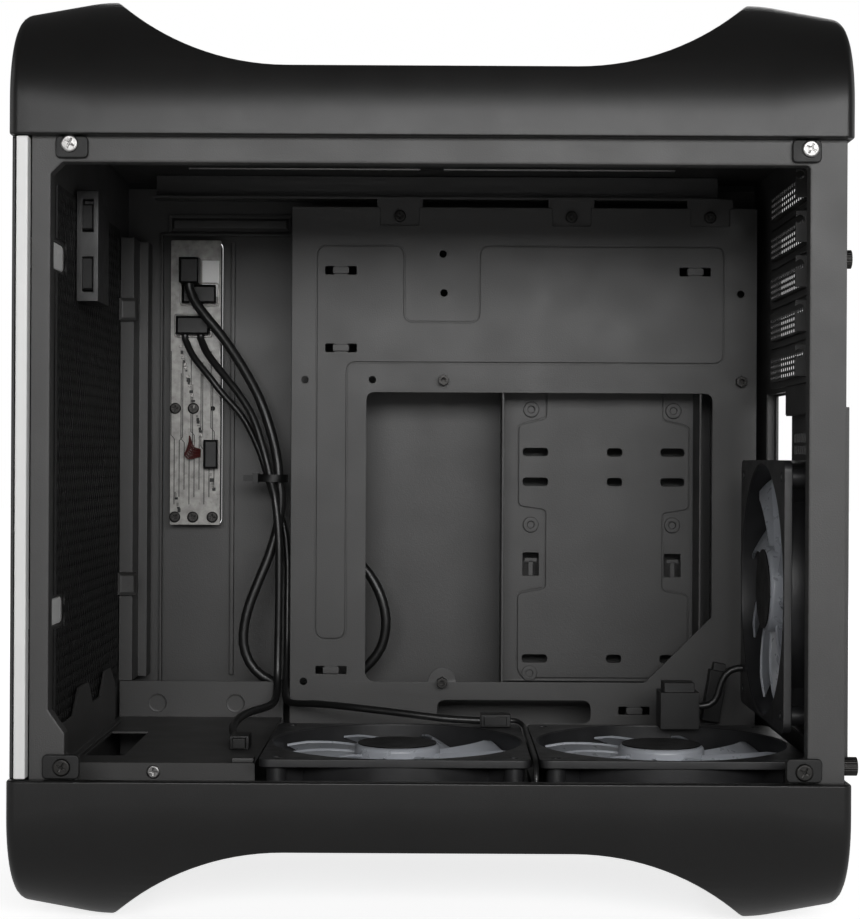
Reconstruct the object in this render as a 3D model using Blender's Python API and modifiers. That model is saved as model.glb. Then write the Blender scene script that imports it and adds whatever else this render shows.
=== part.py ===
"""Small tower computer case with looped carrying handles, its side cover taken off.

Metres, +Z up. The open side faces -Y, the front faces -X and the rear faces +X.
The origin is the bottom centre of the bounding box, so the case stands on the
two ridges of its lower handle.
"""

import math

import bmesh
import bpy
from mathutils import Matrix, Vector

# Whole case
CASE_WIDTH = 0.250
CASE_HEIGHT = 0.408
BODY_LENGTH = 0.359
SCREW_REACH = 0.0041
SEAT = 0.0003
SHEET = 0.0012
JOINT_RISE = CASE_HEIGHT / 2 - 0.067
DECK_RISE = JOINT_RISE + 0.013
FLOOR_DROP = JOINT_RISE + 0.020

# How far each way the case has grown from its built size; what spans it follows these
LONG = BODY_LENGTH / 0.359
WIDE = CASE_WIDTH / 0.250
TALL = JOINT_RISE / 0.137
LEAST = min(LONG, WIDE, TALL)

# Looped handles
HANDLE_WALL = 0.006
BAR_LENGTH = 0.0388
PEAK_FLAT = 0.005
END_DROP = 0.0095
PEAK_CORNER = 0.057
END_CORNER = 0.042
SCOOP_RADIUS = 0.1033
SCOOP_DEPTH = 0.0364
SKIRT_WALL = 0.0018
SKIRT_LIP = 0.001

# Front panel and its light bars
PANEL_INSET = 0.0018
PANEL_SKIN = 0.0013
PANEL_DEPTH = 0.009
PANEL_RIB = 0.005
LIGHT_THICK = 0.005
LIGHT_WIDTH = 0.007
LIGHT_INSET = 0.001
LUG_WIDTH = 0.030 * WIDE
LUG_HEIGHT = 0.0123
LUG_DEPTH = 0.021 * WIDE
LUG_CORNER = 0.003
LUG_RISES = (0.0887 * TALL, -0.0679 * TALL)

# Steel body
FRAME_RISE = JOINT_RISE + 0.0097
DECK_TUCK = 0.0005
FLOOR_TUCK = 0.0014
FRONT_POST = 0.0081
REAR_POST = 0.0159
WINDOW_TOP = JOINT_RISE - 0.011
WINDOW_BOTTOM = -JOINT_RISE - 0.004
WINDOW_LIP = 0.008
GUSSET = 0.010
FRONT_WALL_SETBACK = 0.0043
FAR_WINDOW_FRONT = 0.0246
FAR_WINDOW_TOP = JOINT_RISE - 0.016
FAR_WINDOW_BOTTOM = 0.009 - JOINT_RISE
DECK_VENT_COUNT = 9
DECK_VENT_LENGTH = 0.120 * LONG
DECK_VENT_WIDTH = 0.006
DECK_VENT_PITCH = 0.016 * WIDE
MESH_COLUMNS = 6
MESH_ROWS = 11
MESH_PITCH_Y = 0.023 * WIDE
MESH_PITCH_Z = 0.0205 * TALL
MESH_CELL = 0.0170 * LEAST
MESH_MARGIN = 0.007
MESH_NEAR_EDGE = 0.030 * WIDE
MESH_CENTRE = 0.128 * WIDE

# Board tray
TRAY_DEPTH = 0.197
TRAY_FRONT_GAP = 0.1067 * LONG
TRAY_REAR_GAP = 0.0095
TRAY_TOP = DECK_RISE - 0.0183
EMBOSS = 0.0006
STANDOFF_RADIUS = 0.003
STANDOFF_HEIGHT = 0.0063
TIE_HOOK_LENGTH = 0.0162
TIE_HOOK_WIDTH = 0.0042
CORD_GAP = 0.0005

# Slots, back panel opening and fans
SLOT_PITCH = 0.02032 * TALL
SLOT_COUNT = 5
TOP_SLOT_RISE = 0.1273 * TALL
SLOT_OPEN_DEPTH = 0.074 * WIDE
SLOT_OPEN_LENGTH = 0.094 * WIDE
SLOT_OPEN_HEIGHT = 0.0135 * TALL
COVER_LENGTH = 0.118 * WIDE
COVER_HEIGHT = 0.0184 * TALL
COVER_THICK = 0.001
COVER_FIELD = 0.0036
IO_WIDTH = 0.04445 * WIDE
IO_HEIGHT = 0.15875 * TALL
IO_TOP = 0.0336 * TALL
IO_DEPTH = 0.149 * WIDE
STEP_OUT = 0.0039
FAN_SIZE = 0.120 * LEAST
FAN_THICK = 0.025
FAN_BORE = 0.058 * LEAST
FAN_FLANGE = 0.004
FAN_HUB = 0.020 * LEAST
BLADE_COUNT = 9
BLADE_GAP = 0.0016
BLADE_THICK = 0.0013
REAR_FAN_DEPTH = 0.087 * WIDE
REAR_FAN_RISE = -0.0595 * TALL
FLOOR_FAN_DEPTH = 0.0905 * WIDE
FLOOR_FAN_REAR_GAP = 0.0108
FLOOR_FAN_GAP = 0.0036
GRILLE_PITCH = 0.0155 * LEAST
GRILLE_CELL = 0.0072 * LEAST
GRILLE_RINGS = 3

# Front controls on the far side
COVER_FOLD = 0.004
CONTROL_WIDTH = 0.027
CONTROL_TOP = 0.118 * TALL
CONTROL_BOTTOM = -0.036 * TALL
CONTROL_FRONT_GAP = 0.0385 * LONG
BOARD_THICK = 0.0016
BOARD_DEPTH = CASE_WIDTH - 0.0143
BEZEL_THICK = 0.0024
BUTTON_TRAVEL = 0.0015
BUTTON_GAP = 0.0004
POWER_RISE = 0.100 * TALL
POWER_RADIUS = 0.007 * LEAST
RESET_RISE = -0.022 * TALL
RESET_RADIUS = 0.003 * LEAST
USB_RISES = (0.074 * TALL, 0.050 * TALL)
USB_WIDTH = 0.0062
USB_LENGTH = 0.0145
JACK_RISES = (0.022 * TALL, 0.002 * TALL)
JACK_RADIUS = 0.0038

# Cords
USB_CORD = 0.0052
AUDIO_CORD = 0.0036
PANEL_CORD = 0.0040
FAN_CORD = 0.0024
REAR_FAN_CORD = 0.0036

# Planes that the pieces share
BODY_X = -SCREW_REACH / 2
FRONT_END = BODY_X - BODY_LENGTH / 2
REAR_END = BODY_X + BODY_LENGTH / 2
NEAR_SIDE = -CASE_WIDTH / 2
FAR_SIDE = CASE_WIDTH / 2
MID_Z = CASE_HEIGHT / 2
INNER_HALF = CASE_WIDTH / 2 - HANDLE_WALL
BODY_HALF = INNER_HALF - SEAT
DECK_Z = MID_Z + DECK_RISE
FLOOR_Z = MID_Z - FLOOR_DROP
FRAME_FRONT = FRONT_END + PANEL_DEPTH
FRAME_REAR = REAR_END - SKIRT_WALL - 2 * SEAT
SHELL_LOW = FLOOR_Z + SEAT
SHELL_HIGH = DECK_Z - SEAT
WALL_X = FRAME_FRONT + FRONT_WALL_SETBACK
WALL_INSIDE = WALL_X + SHEET
REAR_INSIDE = FRAME_REAR - SHEET
PLATE_HALF = BODY_HALF - SHEET - SEAT
TRAY_Y = NEAR_SIDE + TRAY_DEPTH * WIDE
TRAY_BACK = TRAY_Y + SHEET
BEHIND = (FAR_SIDE - TRAY_BACK) / 0.0518
TRAY_LIP = 0.012 * BEHIND
TRAY_LEFT = FRONT_END + TRAY_FRONT_GAP
TRAY_RIGHT = REAR_END - TRAY_REAR_GAP

MATERIALS = {
    "soft_black_shell": ((0.035, 0.034, 0.034), 0.55, 0.0),
    "painted_steel": ((0.055, 0.054, 0.053), 0.55, 0.3),
    "front_skin": ((0.02, 0.02, 0.02), 0.6, 0.0),
    "light_bar": ((0.85, 0.85, 0.84), 0.35, 0.0),
    "fan_frame_plastic": ((0.02, 0.02, 0.022), 0.45, 0.0),
    "fan_blade": ((0.42, 0.44, 0.47), 0.35, 0.0),
    "black_plastic": ((0.02, 0.02, 0.02), 0.45, 0.0),
    "zinc_screw": ((0.55, 0.55, 0.56), 0.3, 1.0),
    "black_screw": ((0.03, 0.03, 0.03), 0.4, 0.8),
    "circuit_board": ((0.30, 0.29, 0.27), 0.35, 0.2),
    "port_metal": ((0.5, 0.5, 0.5), 0.3, 1.0),
    "cord_sleeve": ((0.02, 0.02, 0.02), 0.4, 0.0),
}


def clear_scene():
    for obj in list(bpy.data.objects):
        bpy.data.objects.remove(obj, do_unlink=True)


def make_collection(name):
    collection = bpy.data.collections.new(name)
    bpy.context.scene.collection.children.link(collection)
    return collection


def make_material(name):
    colour, roughness, metallic = MATERIALS[name]
    material = bpy.data.materials.new(name)
    material.use_nodes = True
    shader = material.node_tree.nodes["Principled BSDF"]
    shader.inputs["Base Color"].default_value = (*colour, 1.0)
    shader.inputs["Roughness"].default_value = roughness
    shader.inputs["Metallic"].default_value = metallic
    return material


clear_scene()
CASE = make_collection("mini_itx_case")
CUTTERS = make_collection("cutters")
FINISH = {name: make_material(name) for name in MATERIALS}


def add_object(name, mesh, matrix=None):
    obj = bpy.data.objects.new(name, mesh)
    obj.matrix_world = matrix if matrix else Matrix.Identity(4)
    CUTTERS.objects.link(obj)
    obj.hide_render = True
    obj.display_type = "WIRE"
    return obj


def finish(obj, material, smooth_angle=None):
    """Move a piece out of the cutters into the case and give it its material."""
    CUTTERS.objects.unlink(obj)
    CASE.objects.link(obj)
    obj.hide_render = False
    obj.display_type = "TEXTURED"
    obj.data.materials.clear()
    obj.data.materials.append(FINISH[material])
    if smooth_angle:
        obj.data.shade_smooth()
        obj.data.set_sharp_from_angle(angle=math.radians(smooth_angle))
    return obj


def boolean(target, other, operation):
    modifier = target.modifiers.new(other.name, "BOOLEAN")
    modifier.operation = operation
    modifier.solver = "EXACT"
    modifier.object = other
    return target


def cut(target, *others):
    for other in others:
        boolean(target, other, "DIFFERENCE")
    return target


def join(target, *others):
    for other in others:
        boolean(target, other, "UNION")
    return target


def mesh_from_bmesh(name, bm):
    bmesh.ops.recalc_face_normals(bm, faces=bm.faces)
    if bm.calc_volume(signed=True) < 0:
        bmesh.ops.reverse_faces(bm, faces=bm.faces)
    mesh = bpy.data.meshes.new(name)
    bm.to_mesh(mesh)
    bm.free()
    return mesh


def box(name, low, high):
    low = Vector(low)
    high = Vector(high)
    bm = bmesh.new()
    bmesh.ops.create_cube(bm, size=1.0)
    bmesh.ops.scale(bm, vec=high - low, verts=bm.verts)
    return add_object(name, mesh_from_bmesh(name, bm), Matrix.Translation((low + high) / 2))


TURN = {
    "X": Matrix(((0, 0, 1, 0), (1, 0, 0, 0), (0, 1, 0, 0), (0, 0, 0, 1))),
    "Y": Matrix(((1, 0, 0, 0), (0, 0, -1, 0), (0, 1, 0, 0), (0, 0, 0, 1))),
    "Z": Matrix.Identity(4),
}
UNIT = {"X": Vector((1, 0, 0)), "Y": Vector((0, 1, 0)), "Z": Vector((0, 0, 1))}


def cylinder(name, centre, radius, length, axis="Z", sides=20, top_radius=None):
    """A round bar centred on a point; its local Z runs along the named axis."""
    bm = bmesh.new()
    bmesh.ops.create_cone(
        bm, cap_ends=True, segments=sides, radius1=radius,
        radius2=radius if top_radius is None else top_radius, depth=length)
    matrix = Matrix.Translation(centre) @ TURN[axis]
    return add_object(name, mesh_from_bmesh(name, bm), matrix)


def solid_outline(name, outline, half):
    """A closed body from one outline without holes, with one face at each end."""
    bm = bmesh.new()
    rings = [[bm.verts.new((u, v, level)) for u, v in outline] for level in (-half, half)]
    bm.faces.new(rings[0])
    bm.faces.new(rings[1])
    count = len(outline)
    for index in range(count):
        following = (index + 1) % count
        bm.faces.new((rings[0][index], rings[0][following],
                      rings[1][following], rings[1][index]))
    return mesh_from_bmesh(name, bm)


def prism(name, outlines, axis, start, end):
    """Extrude a flat outline, with any further outlines as holes, along an axis.

    The outlines are in the two other axes, in X, Y, Z order.
    """
    matrix = Matrix.Translation(UNIT[axis] * (start + end) / 2) @ TURN[axis]
    if len(outlines) == 1:
        return add_object(name, solid_outline(name, outlines[0], abs(end - start) / 2), matrix)
    curve = bpy.data.curves.new(name + "_outline", "CURVE")
    curve.dimensions = "2D"
    curve.fill_mode = "BOTH"
    curve.extrude = abs(end - start) / 2
    for outline in outlines:
        spline = curve.splines.new("POLY")
        spline.points.add(len(outline) - 1)
        for point, (u, v) in zip(spline.points, outline):
            point.co = (u, v, 0, 1)
        spline.use_cyclic_u = True
    return curve_to_mesh(name, curve, matrix)


def even_caps(bm):
    """Turn the edges inside the flat caps, so that no filled triangle has its corners in line."""
    caps = [face for face in bm.faces if len({round(v.co.z, 7) for v in face.verts}) == 1]
    inner = [edge for edge in bm.edges if all(face in caps for face in edge.link_faces)]
    bmesh.ops.beautify_fill(bm, faces=caps, edges=inner, method="ANGLE")


def curve_to_mesh(name, curve, matrix):
    source = bpy.data.objects.new(name + "_curve", curve)
    CUTTERS.objects.link(source)
    source.matrix_world = matrix
    bpy.context.view_layer.update()
    evaluated = source.evaluated_get(bpy.context.evaluated_depsgraph_get())
    mesh = bpy.data.meshes.new_from_object(evaluated)
    bm = bmesh.new()
    bm.from_mesh(mesh)
    bmesh.ops.remove_doubles(bm, verts=bm.verts, dist=0.000001)
    if curve.dimensions == "2D":
        even_caps(bm)
    bpy.data.objects.remove(source, do_unlink=True)
    bpy.data.meshes.remove(mesh)
    return add_object(name, mesh_from_bmesh(name, bm), matrix)


def arc(centre, radius, start, end, steps):
    """Points along an arc, angles in degrees, both ends included."""
    points = []
    for step in range(steps + 1):
        angle = math.radians(start + (end - start) * step / steps)
        points.append((centre[0] + radius * math.cos(angle), centre[1] + radius * math.sin(angle)))
    return points


def circle(centre, radius, sides):
    return arc(centre, radius, 0, 360 - 360 / sides, sides - 1)


def rectangle(u_low, u_high, v_low, v_high, corner=0.0, steps=2):
    if corner <= 0:
        return [(u_low, v_low), (u_high, v_low), (u_high, v_high), (u_low, v_high)]
    return (
        arc((u_low + corner, v_low + corner), corner, 180, 270, steps)
        + arc((u_high - corner, v_low + corner), corner, 270, 360, steps)
        + arc((u_high - corner, v_high - corner), corner, 0, 90, steps)
        + arc((u_low + corner, v_high - corner), corner, 90, 180, steps))


def inset(outline, distance):
    """Offset a counter-clockwise outline inwards by a distance, with mitred corners."""
    result = []
    count = len(outline)
    for index, point in enumerate(outline):
        before = Vector(outline[index - 1])
        here = Vector(point)
        after = Vector(outline[(index + 1) % count])
        into = (here - before).normalized()
        out = (after - here).normalized()
        normal = Vector((-into.y - out.y, into.x + out.x))
        normal.normalize()
        reach = distance / max(0.2, normal.dot(Vector((-into.y, into.x))))
        result.append(tuple(here + normal * reach))
    return result


def loft(name, sections):
    """Skin a row of unlike sections, each a list of 3D points, and close both ends."""
    bm = bmesh.new()
    rings = [[bm.verts.new(point) for point in section] for section in sections]
    count = len(rings[0])
    for first, second in zip(rings, rings[1:]):
        for index in range(count):
            following = (index + 1) % count
            bm.faces.new((first[index], first[following], second[following], second[index]))
    bm.faces.new(rings[0])
    bm.faces.new(rings[-1])
    return add_object(name, mesh_from_bmesh(name, bm))


# Looped handles


def arch(half_width, rise, corner, base):
    """Arched section of a handle, seen from the front, as heights above mid height."""
    spring = rise - corner
    start = math.degrees(math.asin(max(0.0, base + SEAT - spring) / corner))
    reach = math.sqrt(corner ** 2 - max(0.0, base - spring) ** 2)
    foot = half_width - corner + reach
    points = [(-foot, base)]
    points += arc((-half_width + corner, spring), corner, 180 - start, 90, 7)
    points += arc((half_width - corner, spring), corner, 90, start, 7)
    points.append((foot, base))
    return points


def bar_rise(x):
    """Height of the bar's top and its corner radius, at a distance from the body's middle."""
    peak = BODY_LENGTH / 2 - BAR_LENGTH + PEAK_FLAT
    share = max(0.0, (abs(x) - peak) / (BODY_LENGTH / 2 - peak))
    rise = CASE_HEIGHT / 2 - END_DROP * share
    corner = PEAK_CORNER + (END_CORNER - PEAK_CORNER) * share
    return rise, corner


def handle_sections(stations, wall, side):
    sections = []
    for x, base in stations:
        rise, corner = bar_rise(x)
        outline = arch(CASE_WIDTH / 2 - wall, rise - wall, corner - wall, base)
        sections.append([(BODY_X + x, y, MID_Z + side * z) for y, z in outline])
    return sections


def make_handle(name, side, floor_rise):
    """One moulded loop: two bars and the two walls that carry them, 1 for the top, -1 below."""
    half = BODY_LENGTH / 2
    peak = half - BAR_LENGTH + PEAK_FLAT
    outer = [(x, JOINT_RISE) for x in (-half, -peak, peak, half)]
    shell = loft(name, handle_sections(outer, 0.0, side))
    skirt = half - SKIRT_WALL
    beyond = half + HANDLE_WALL
    lip = floor_rise + SHEET + SKIRT_LIP
    below = JOINT_RISE - HANDLE_WALL
    crease = SHEET / 100
    hollow = [(-beyond, lip), (-skirt - crease, lip), (-skirt, below), (-peak, below)]
    hollow += [(-x, base) for x, base in reversed(hollow)]
    cut(shell, loft(name + "_hollow", handle_sections(hollow, HANDLE_WALL, side)))
    top = CASE_HEIGHT / 2
    run = math.sqrt(SCOOP_RADIUS ** 2 - (SCOOP_RADIUS - SCOOP_DEPTH) ** 2)
    flat = half - BAR_LENGTH - run
    centre_rise = top - SCOOP_DEPTH + SCOOP_RADIUS
    sweep = 10 + math.degrees(math.asin(run / SCOOP_RADIUS))
    profile = arc((flat, centre_rise), SCOOP_RADIUS, -90, -90 + sweep, 11)
    profile += [(-u, v) for u, v in reversed(profile)]
    profile = [(BODY_X + u, MID_Z + side * v) for u, v in profile]
    cut(shell, prism(name + "_scoop", [profile], "Y", -CASE_WIDTH, CASE_WIDTH))
    return finish(shell, "soft_black_shell", 30)


# Front panel


def make_front_panel():
    skin_x = FRONT_END + PANEL_INSET
    back_x = skin_x + PANEL_SKIN
    rib_x = FRAME_FRONT - SEAT
    half = FAR_SIDE - LIGHT_INSET
    high = JOINT_RISE - SEAT
    face = rectangle(-half, half, MID_Z - high, MID_Z + high, 0.002)
    panel = prism("front_panel", [face], "X", skin_x, back_x)
    rib_half = half - LIGHT_WIDTH - 2 * SEAT - LUG_DEPTH - LUG_WIDTH
    ring = rectangle(-rib_half, rib_half, MID_Z - high + PANEL_RIB, MID_Z + high - PANEL_RIB)
    ribs = prism("front_panel_ribs", [ring, inset(ring, PANEL_RIB)], "X",
                 skin_x + PANEL_SKIN / 2, rib_x)
    return finish(join(panel, ribs), "front_skin")


def make_light_bar(name, side):
    """White diffuser along one edge of the front panel, with two lugs through the steel wall."""
    back_x = FRONT_END + PANEL_INSET + PANEL_SKIN + SEAT
    front_x = back_x + LIGHT_THICK
    high = JOINT_RISE - 2 * SEAT
    outer = FAR_SIDE - LIGHT_INSET
    outline = [(outer, -high), (outer, high), (outer - LIGHT_WIDTH, high)]
    inner = FAR_SIDE - LUG_DEPTH - LUG_WIDTH
    for rise in sorted(LUG_RISES, reverse=True):
        outline.append((outer - LIGHT_WIDTH, rise + LUG_HEIGHT / 2))
        outline.append((inner, rise + LUG_HEIGHT / 2))
        outline.append((inner, rise - LUG_HEIGHT / 2))
        outline.append((outer - LIGHT_WIDTH, rise - LUG_HEIGHT / 2))
    outline.append((outer - LIGHT_WIDTH, -high))
    outline = [(side * y, MID_Z + z) for y, z in outline]
    bar = prism(name, [outline], "X", back_x, front_x)
    for index, rise in enumerate(LUG_RISES):
        low = min(side * inner, side * (inner + LUG_WIDTH))
        outline = rectangle(low + SEAT, low + LUG_WIDTH - SEAT, MID_Z + rise - LUG_HEIGHT / 2 + SEAT,
                            MID_Z + rise + LUG_HEIGHT / 2 - SEAT, LUG_CORNER - SEAT)
        lug = prism(f"{name}_lug_{index}", [outline], "X", front_x - LIGHT_THICK / 2,
                    WALL_INSIDE - SEAT)
        join(bar, lug)
    return finish(bar, "light_bar")


# Steel body


def corner_screw_places():
    """Each corner screw: its X and height above mid height, and how far its ear reaches.

    The reaches are towards the front, towards the rear and towards mid height.
    """
    return {
        "upper_front": (FRAME_FRONT + 0.0165, JOINT_RISE - 0.0036, 0.0061, 0.0078, 0.0060),
        "upper_rear": (FRAME_REAR - 0.0162, JOINT_RISE - 0.0042, 0.0077, 0.0048, 0.0058),
        "lower_front": (FRAME_FRONT + 0.0144, 0.0054 - JOINT_RISE, 0.0084, 0.0074, 0.0053),
        "lower_rear": (FRAME_REAR - 0.0176, 0.0048 - JOINT_RISE, 0.0076, 0.0077, 0.0057),
    }


def window_frame(name, start, end, window, holes):
    outline = rectangle(FRAME_FRONT, FRAME_REAR, MID_Z - FRAME_RISE, MID_Z + FRAME_RISE)
    plate = prism(name, [outline, inset(window, -SHEET / 2)] + holes, "Y", start, end)
    return plate


def make_near_frame():
    left = FRAME_FRONT + FRONT_POST
    right = FRAME_REAR - REAR_POST
    top = MID_Z + WINDOW_TOP
    low = MID_Z + WINDOW_BOTTOM
    places = corner_screw_places()
    front_x, front_rise, _, front_reach, front_up = places["lower_front"]
    rear_x, rear_rise, rear_reach, _, rear_up = places["lower_rear"]
    front_ear = front_x + front_reach - SHEET
    rear_ear = rear_x - rear_reach + SHEET
    front_ear_top = MID_Z + front_rise + front_up - SHEET
    rear_ear_top = MID_Z + rear_rise + rear_up - SHEET
    window = [
        (front_ear, low), (rear_ear, low), (rear_ear, rear_ear_top), (right, rear_ear_top),
        (right, top), (left + GUSSET / 2, top), (left, top - GUSSET / 2),
        (left, front_ear_top + 2 * GUSSET), (left + 0.7 * GUSSET, front_ear_top + GUSSET),
        (left + 0.7 * GUSSET, front_ear_top), (front_ear, front_ear_top)]
    holes = [circle((place[0], MID_Z + place[1]), 0.0021, 8) for place in places.values()]
    plate = window_frame("near_frame", -BODY_HALF, -BODY_HALF + SHEET, window, holes)
    lip = prism("near_frame_lip", [inset(window, -SHEET), window], "Y",
                -BODY_HALF + SHEET / 2, -BODY_HALF + WINDOW_LIP)
    return finish(join(plate, lip), "painted_steel")


def make_far_frame():
    left = FRAME_FRONT + FAR_WINDOW_FRONT
    right = FRAME_REAR - FAR_WINDOW_FRONT
    window = rectangle(left, right, MID_Z + FAR_WINDOW_BOTTOM, MID_Z + FAR_WINDOW_TOP)
    plate = window_frame("far_frame", BODY_HALF - SHEET, BODY_HALF, window, [])
    lip = prism("far_frame_lip", [inset(window, -SHEET), window], "Y",
                BODY_HALF - WINDOW_LIP / 2, BODY_HALF - SHEET / 2)
    return finish(join(plate, lip), "painted_steel")


def mesh_extent():
    """Middle and half sizes of the area that the mesh's cells take."""
    half_y = MESH_COLUMNS * MESH_PITCH_Y / 2
    half_z = MESH_ROWS * MESH_PITCH_Z / 2
    return NEAR_SIDE + MESH_CENTRE, half_y, half_z


def make_front_wall():
    centre_y, half_y, half_z = mesh_extent()
    outline = rectangle(-PLATE_HALF, PLATE_HALF, SHELL_LOW, SHELL_HIGH)
    window = rectangle(centre_y - half_y, centre_y + half_y, MID_Z - half_z, MID_Z + half_z)
    holes = [window]
    inner = FAR_SIDE - LUG_DEPTH - LUG_WIDTH
    for rise in LUG_RISES:
        for side in (-1, 1):
            low = min(side * inner, side * (inner + LUG_WIDTH))
            holes.append(rectangle(low, low + LUG_WIDTH, MID_Z + rise - LUG_HEIGHT / 2,
                                   MID_Z + rise + LUG_HEIGHT / 2, LUG_CORNER))
    wall = prism("front_wall", [outline] + holes, "X", WALL_X, WALL_INSIDE)
    return finish(wall, "painted_steel")


def make_front_mesh():
    """Stamped diamond mesh over the front wall's window."""
    centre_y, half_y, half_z = mesh_extent()
    outline = rectangle(NEAR_SIDE + MESH_NEAR_EDGE, centre_y + half_y + MESH_MARGIN,
                        MID_Z - half_z - MESH_MARGIN, MID_Z + half_z + MESH_MARGIN)
    cells = []
    for row in range(MESH_ROWS):
        for column in range(MESH_COLUMNS):
            y = centre_y + (column - (MESH_COLUMNS - 1) / 2) * MESH_PITCH_Y
            z = MID_Z + (row - (MESH_ROWS - 1) / 2) * MESH_PITCH_Z
            cells.append(circle((y, z), MESH_CELL / 2, 4))
    inside = WALL_INSIDE + SEAT
    mesh = prism("front_mesh", [outline] + cells, "X", inside, inside + SHEET / 1.2)
    return finish(mesh, "painted_steel")


def make_deck():
    front = FRONT_END + SKIRT_WALL + SEAT
    rear = REAR_END - SKIRT_WALL - SEAT
    half = BODY_HALF - DECK_TUCK
    outline = rectangle(front, rear, -half, half, 0.004)
    vents = []
    for row in range(DECK_VENT_COUNT):
        y = (row - (DECK_VENT_COUNT - 1) / 2) * DECK_VENT_PITCH
        for side in (-1, 1):
            x = BODY_X + side * (DECK_VENT_LENGTH / 2 + DECK_VENT_WIDTH)
            vents.append(rectangle(x - DECK_VENT_LENGTH / 2, x + DECK_VENT_LENGTH / 2,
                                   y - DECK_VENT_WIDTH / 2, y + DECK_VENT_WIDTH / 2))
    deck = prism("top_deck", [outline] + vents, "Z", DECK_Z, DECK_Z + SHEET)
    return finish(deck, "painted_steel")


def floor_fan_centres():
    y = NEAR_SIDE + FLOOR_FAN_DEPTH
    rear = REAR_END - FLOOR_FAN_REAR_GAP - FAN_SIZE / 2
    return {"rear_floor": (rear, y), "front_floor": (rear - FAN_SIZE - FLOOR_FAN_GAP, y)}


def make_floor():
    front = FRONT_END + SKIRT_WALL + SEAT
    rear = REAR_END - SKIRT_WALL - SEAT
    half = BODY_HALF - FLOOR_TUCK
    outline = rectangle(front, rear, -half, half, 0.004)
    holes = [circle(centre, FAN_BORE, 24) for centre in floor_fan_centres().values()]
    floor = prism("floor_pan", [outline] + holes, "Z", FLOOR_Z - SHEET, FLOOR_Z)
    return finish(floor, "painted_steel")


def step_outline():
    """Outline of the rear panel's stepped-out area, as Y and Z."""
    near = NEAR_SIDE + 0.0185
    bend = NEAR_SIDE + 0.1445 * WIDE
    far = NEAR_SIDE + IO_DEPTH + IO_WIDTH + 0.007
    low = MID_Z - 0.130 * TALL
    shoulder = MID_Z + 0.0236 * TALL
    high = MID_Z + IO_TOP + 0.0022
    return [(near, low), (far, low), (far, high), (bend, high), (bend, shoulder), (near, shoulder)]


def slot_rises():
    return [TOP_SLOT_RISE - index * SLOT_PITCH for index in range(SLOT_COUNT)]


def grille_cells(centre):
    """Honeycomb of openings over the rear fan."""
    cells = []
    for row in range(-GRILLE_RINGS, GRILLE_RINGS + 1):
        count = 2 * GRILLE_RINGS + 1 - abs(row)
        for column in range(count):
            y = centre[0] + (column - (count - 1) / 2) * GRILLE_PITCH
            z = centre[1] + row * GRILLE_PITCH * math.sqrt(0.75)
            cells.append([(y + dy, z + dz) for dy, dz in arc((0, 0), GRILLE_CELL, 30, 330, 5)])
    return cells


def vent_dashes():
    """Two short rows of narrow vents above the rear fan."""
    dashes = []
    for row in range(2):
        z = MID_Z + (0.0035 + 0.0058 * row) * TALL
        for column in range(6):
            y = NEAR_SIDE + (0.113 + 0.0052 * column) * WIDE
            dashes.append(rectangle(y, y + 0.003 * WIDE, z, z + 0.0044 * TALL))
    return dashes


def make_rear_panel():
    step = step_outline()
    outline = rectangle(-PLATE_HALF, PLATE_HALF, SHELL_LOW, SHELL_HIGH)
    slots = []
    for rise in slot_rises():
        near = NEAR_SIDE + SLOT_OPEN_DEPTH
        slots.append(rectangle(near, near + SLOT_OPEN_LENGTH, MID_Z + rise - SLOT_OPEN_HEIGHT / 2,
                               MID_Z + rise + SLOT_OPEN_HEIGHT / 2))
    screws = [circle(place, 0.0022, 6) for place in thumbscrew_places().values()]
    panel = prism("rear_panel", [outline, inset(step, SHEET / 2)] + slots + screws, "X",
                  REAR_INSIDE, FRAME_REAR)
    outer_x = FRAME_REAR + STEP_OUT
    wall = prism("rear_step_wall", [step, inset(step, SHEET)], "X",
                 REAR_INSIDE + SHEET / 3, outer_x - SHEET / 8)
    fan_centre = (NEAR_SIDE + REAR_FAN_DEPTH, MID_Z + REAR_FAN_RISE)
    opening = rectangle(NEAR_SIDE + IO_DEPTH, NEAR_SIDE + IO_DEPTH + IO_WIDTH,
                        MID_Z + IO_TOP - IO_HEIGHT, MID_Z + IO_TOP)
    face = prism("rear_step_face", [inset(step, SHEET / 4), opening] + grille_cells(fan_centre)
                 + vent_dashes(), "X", outer_x - SHEET, outer_x)
    return finish(join(panel, join(wall, face)), "painted_steel")


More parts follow.
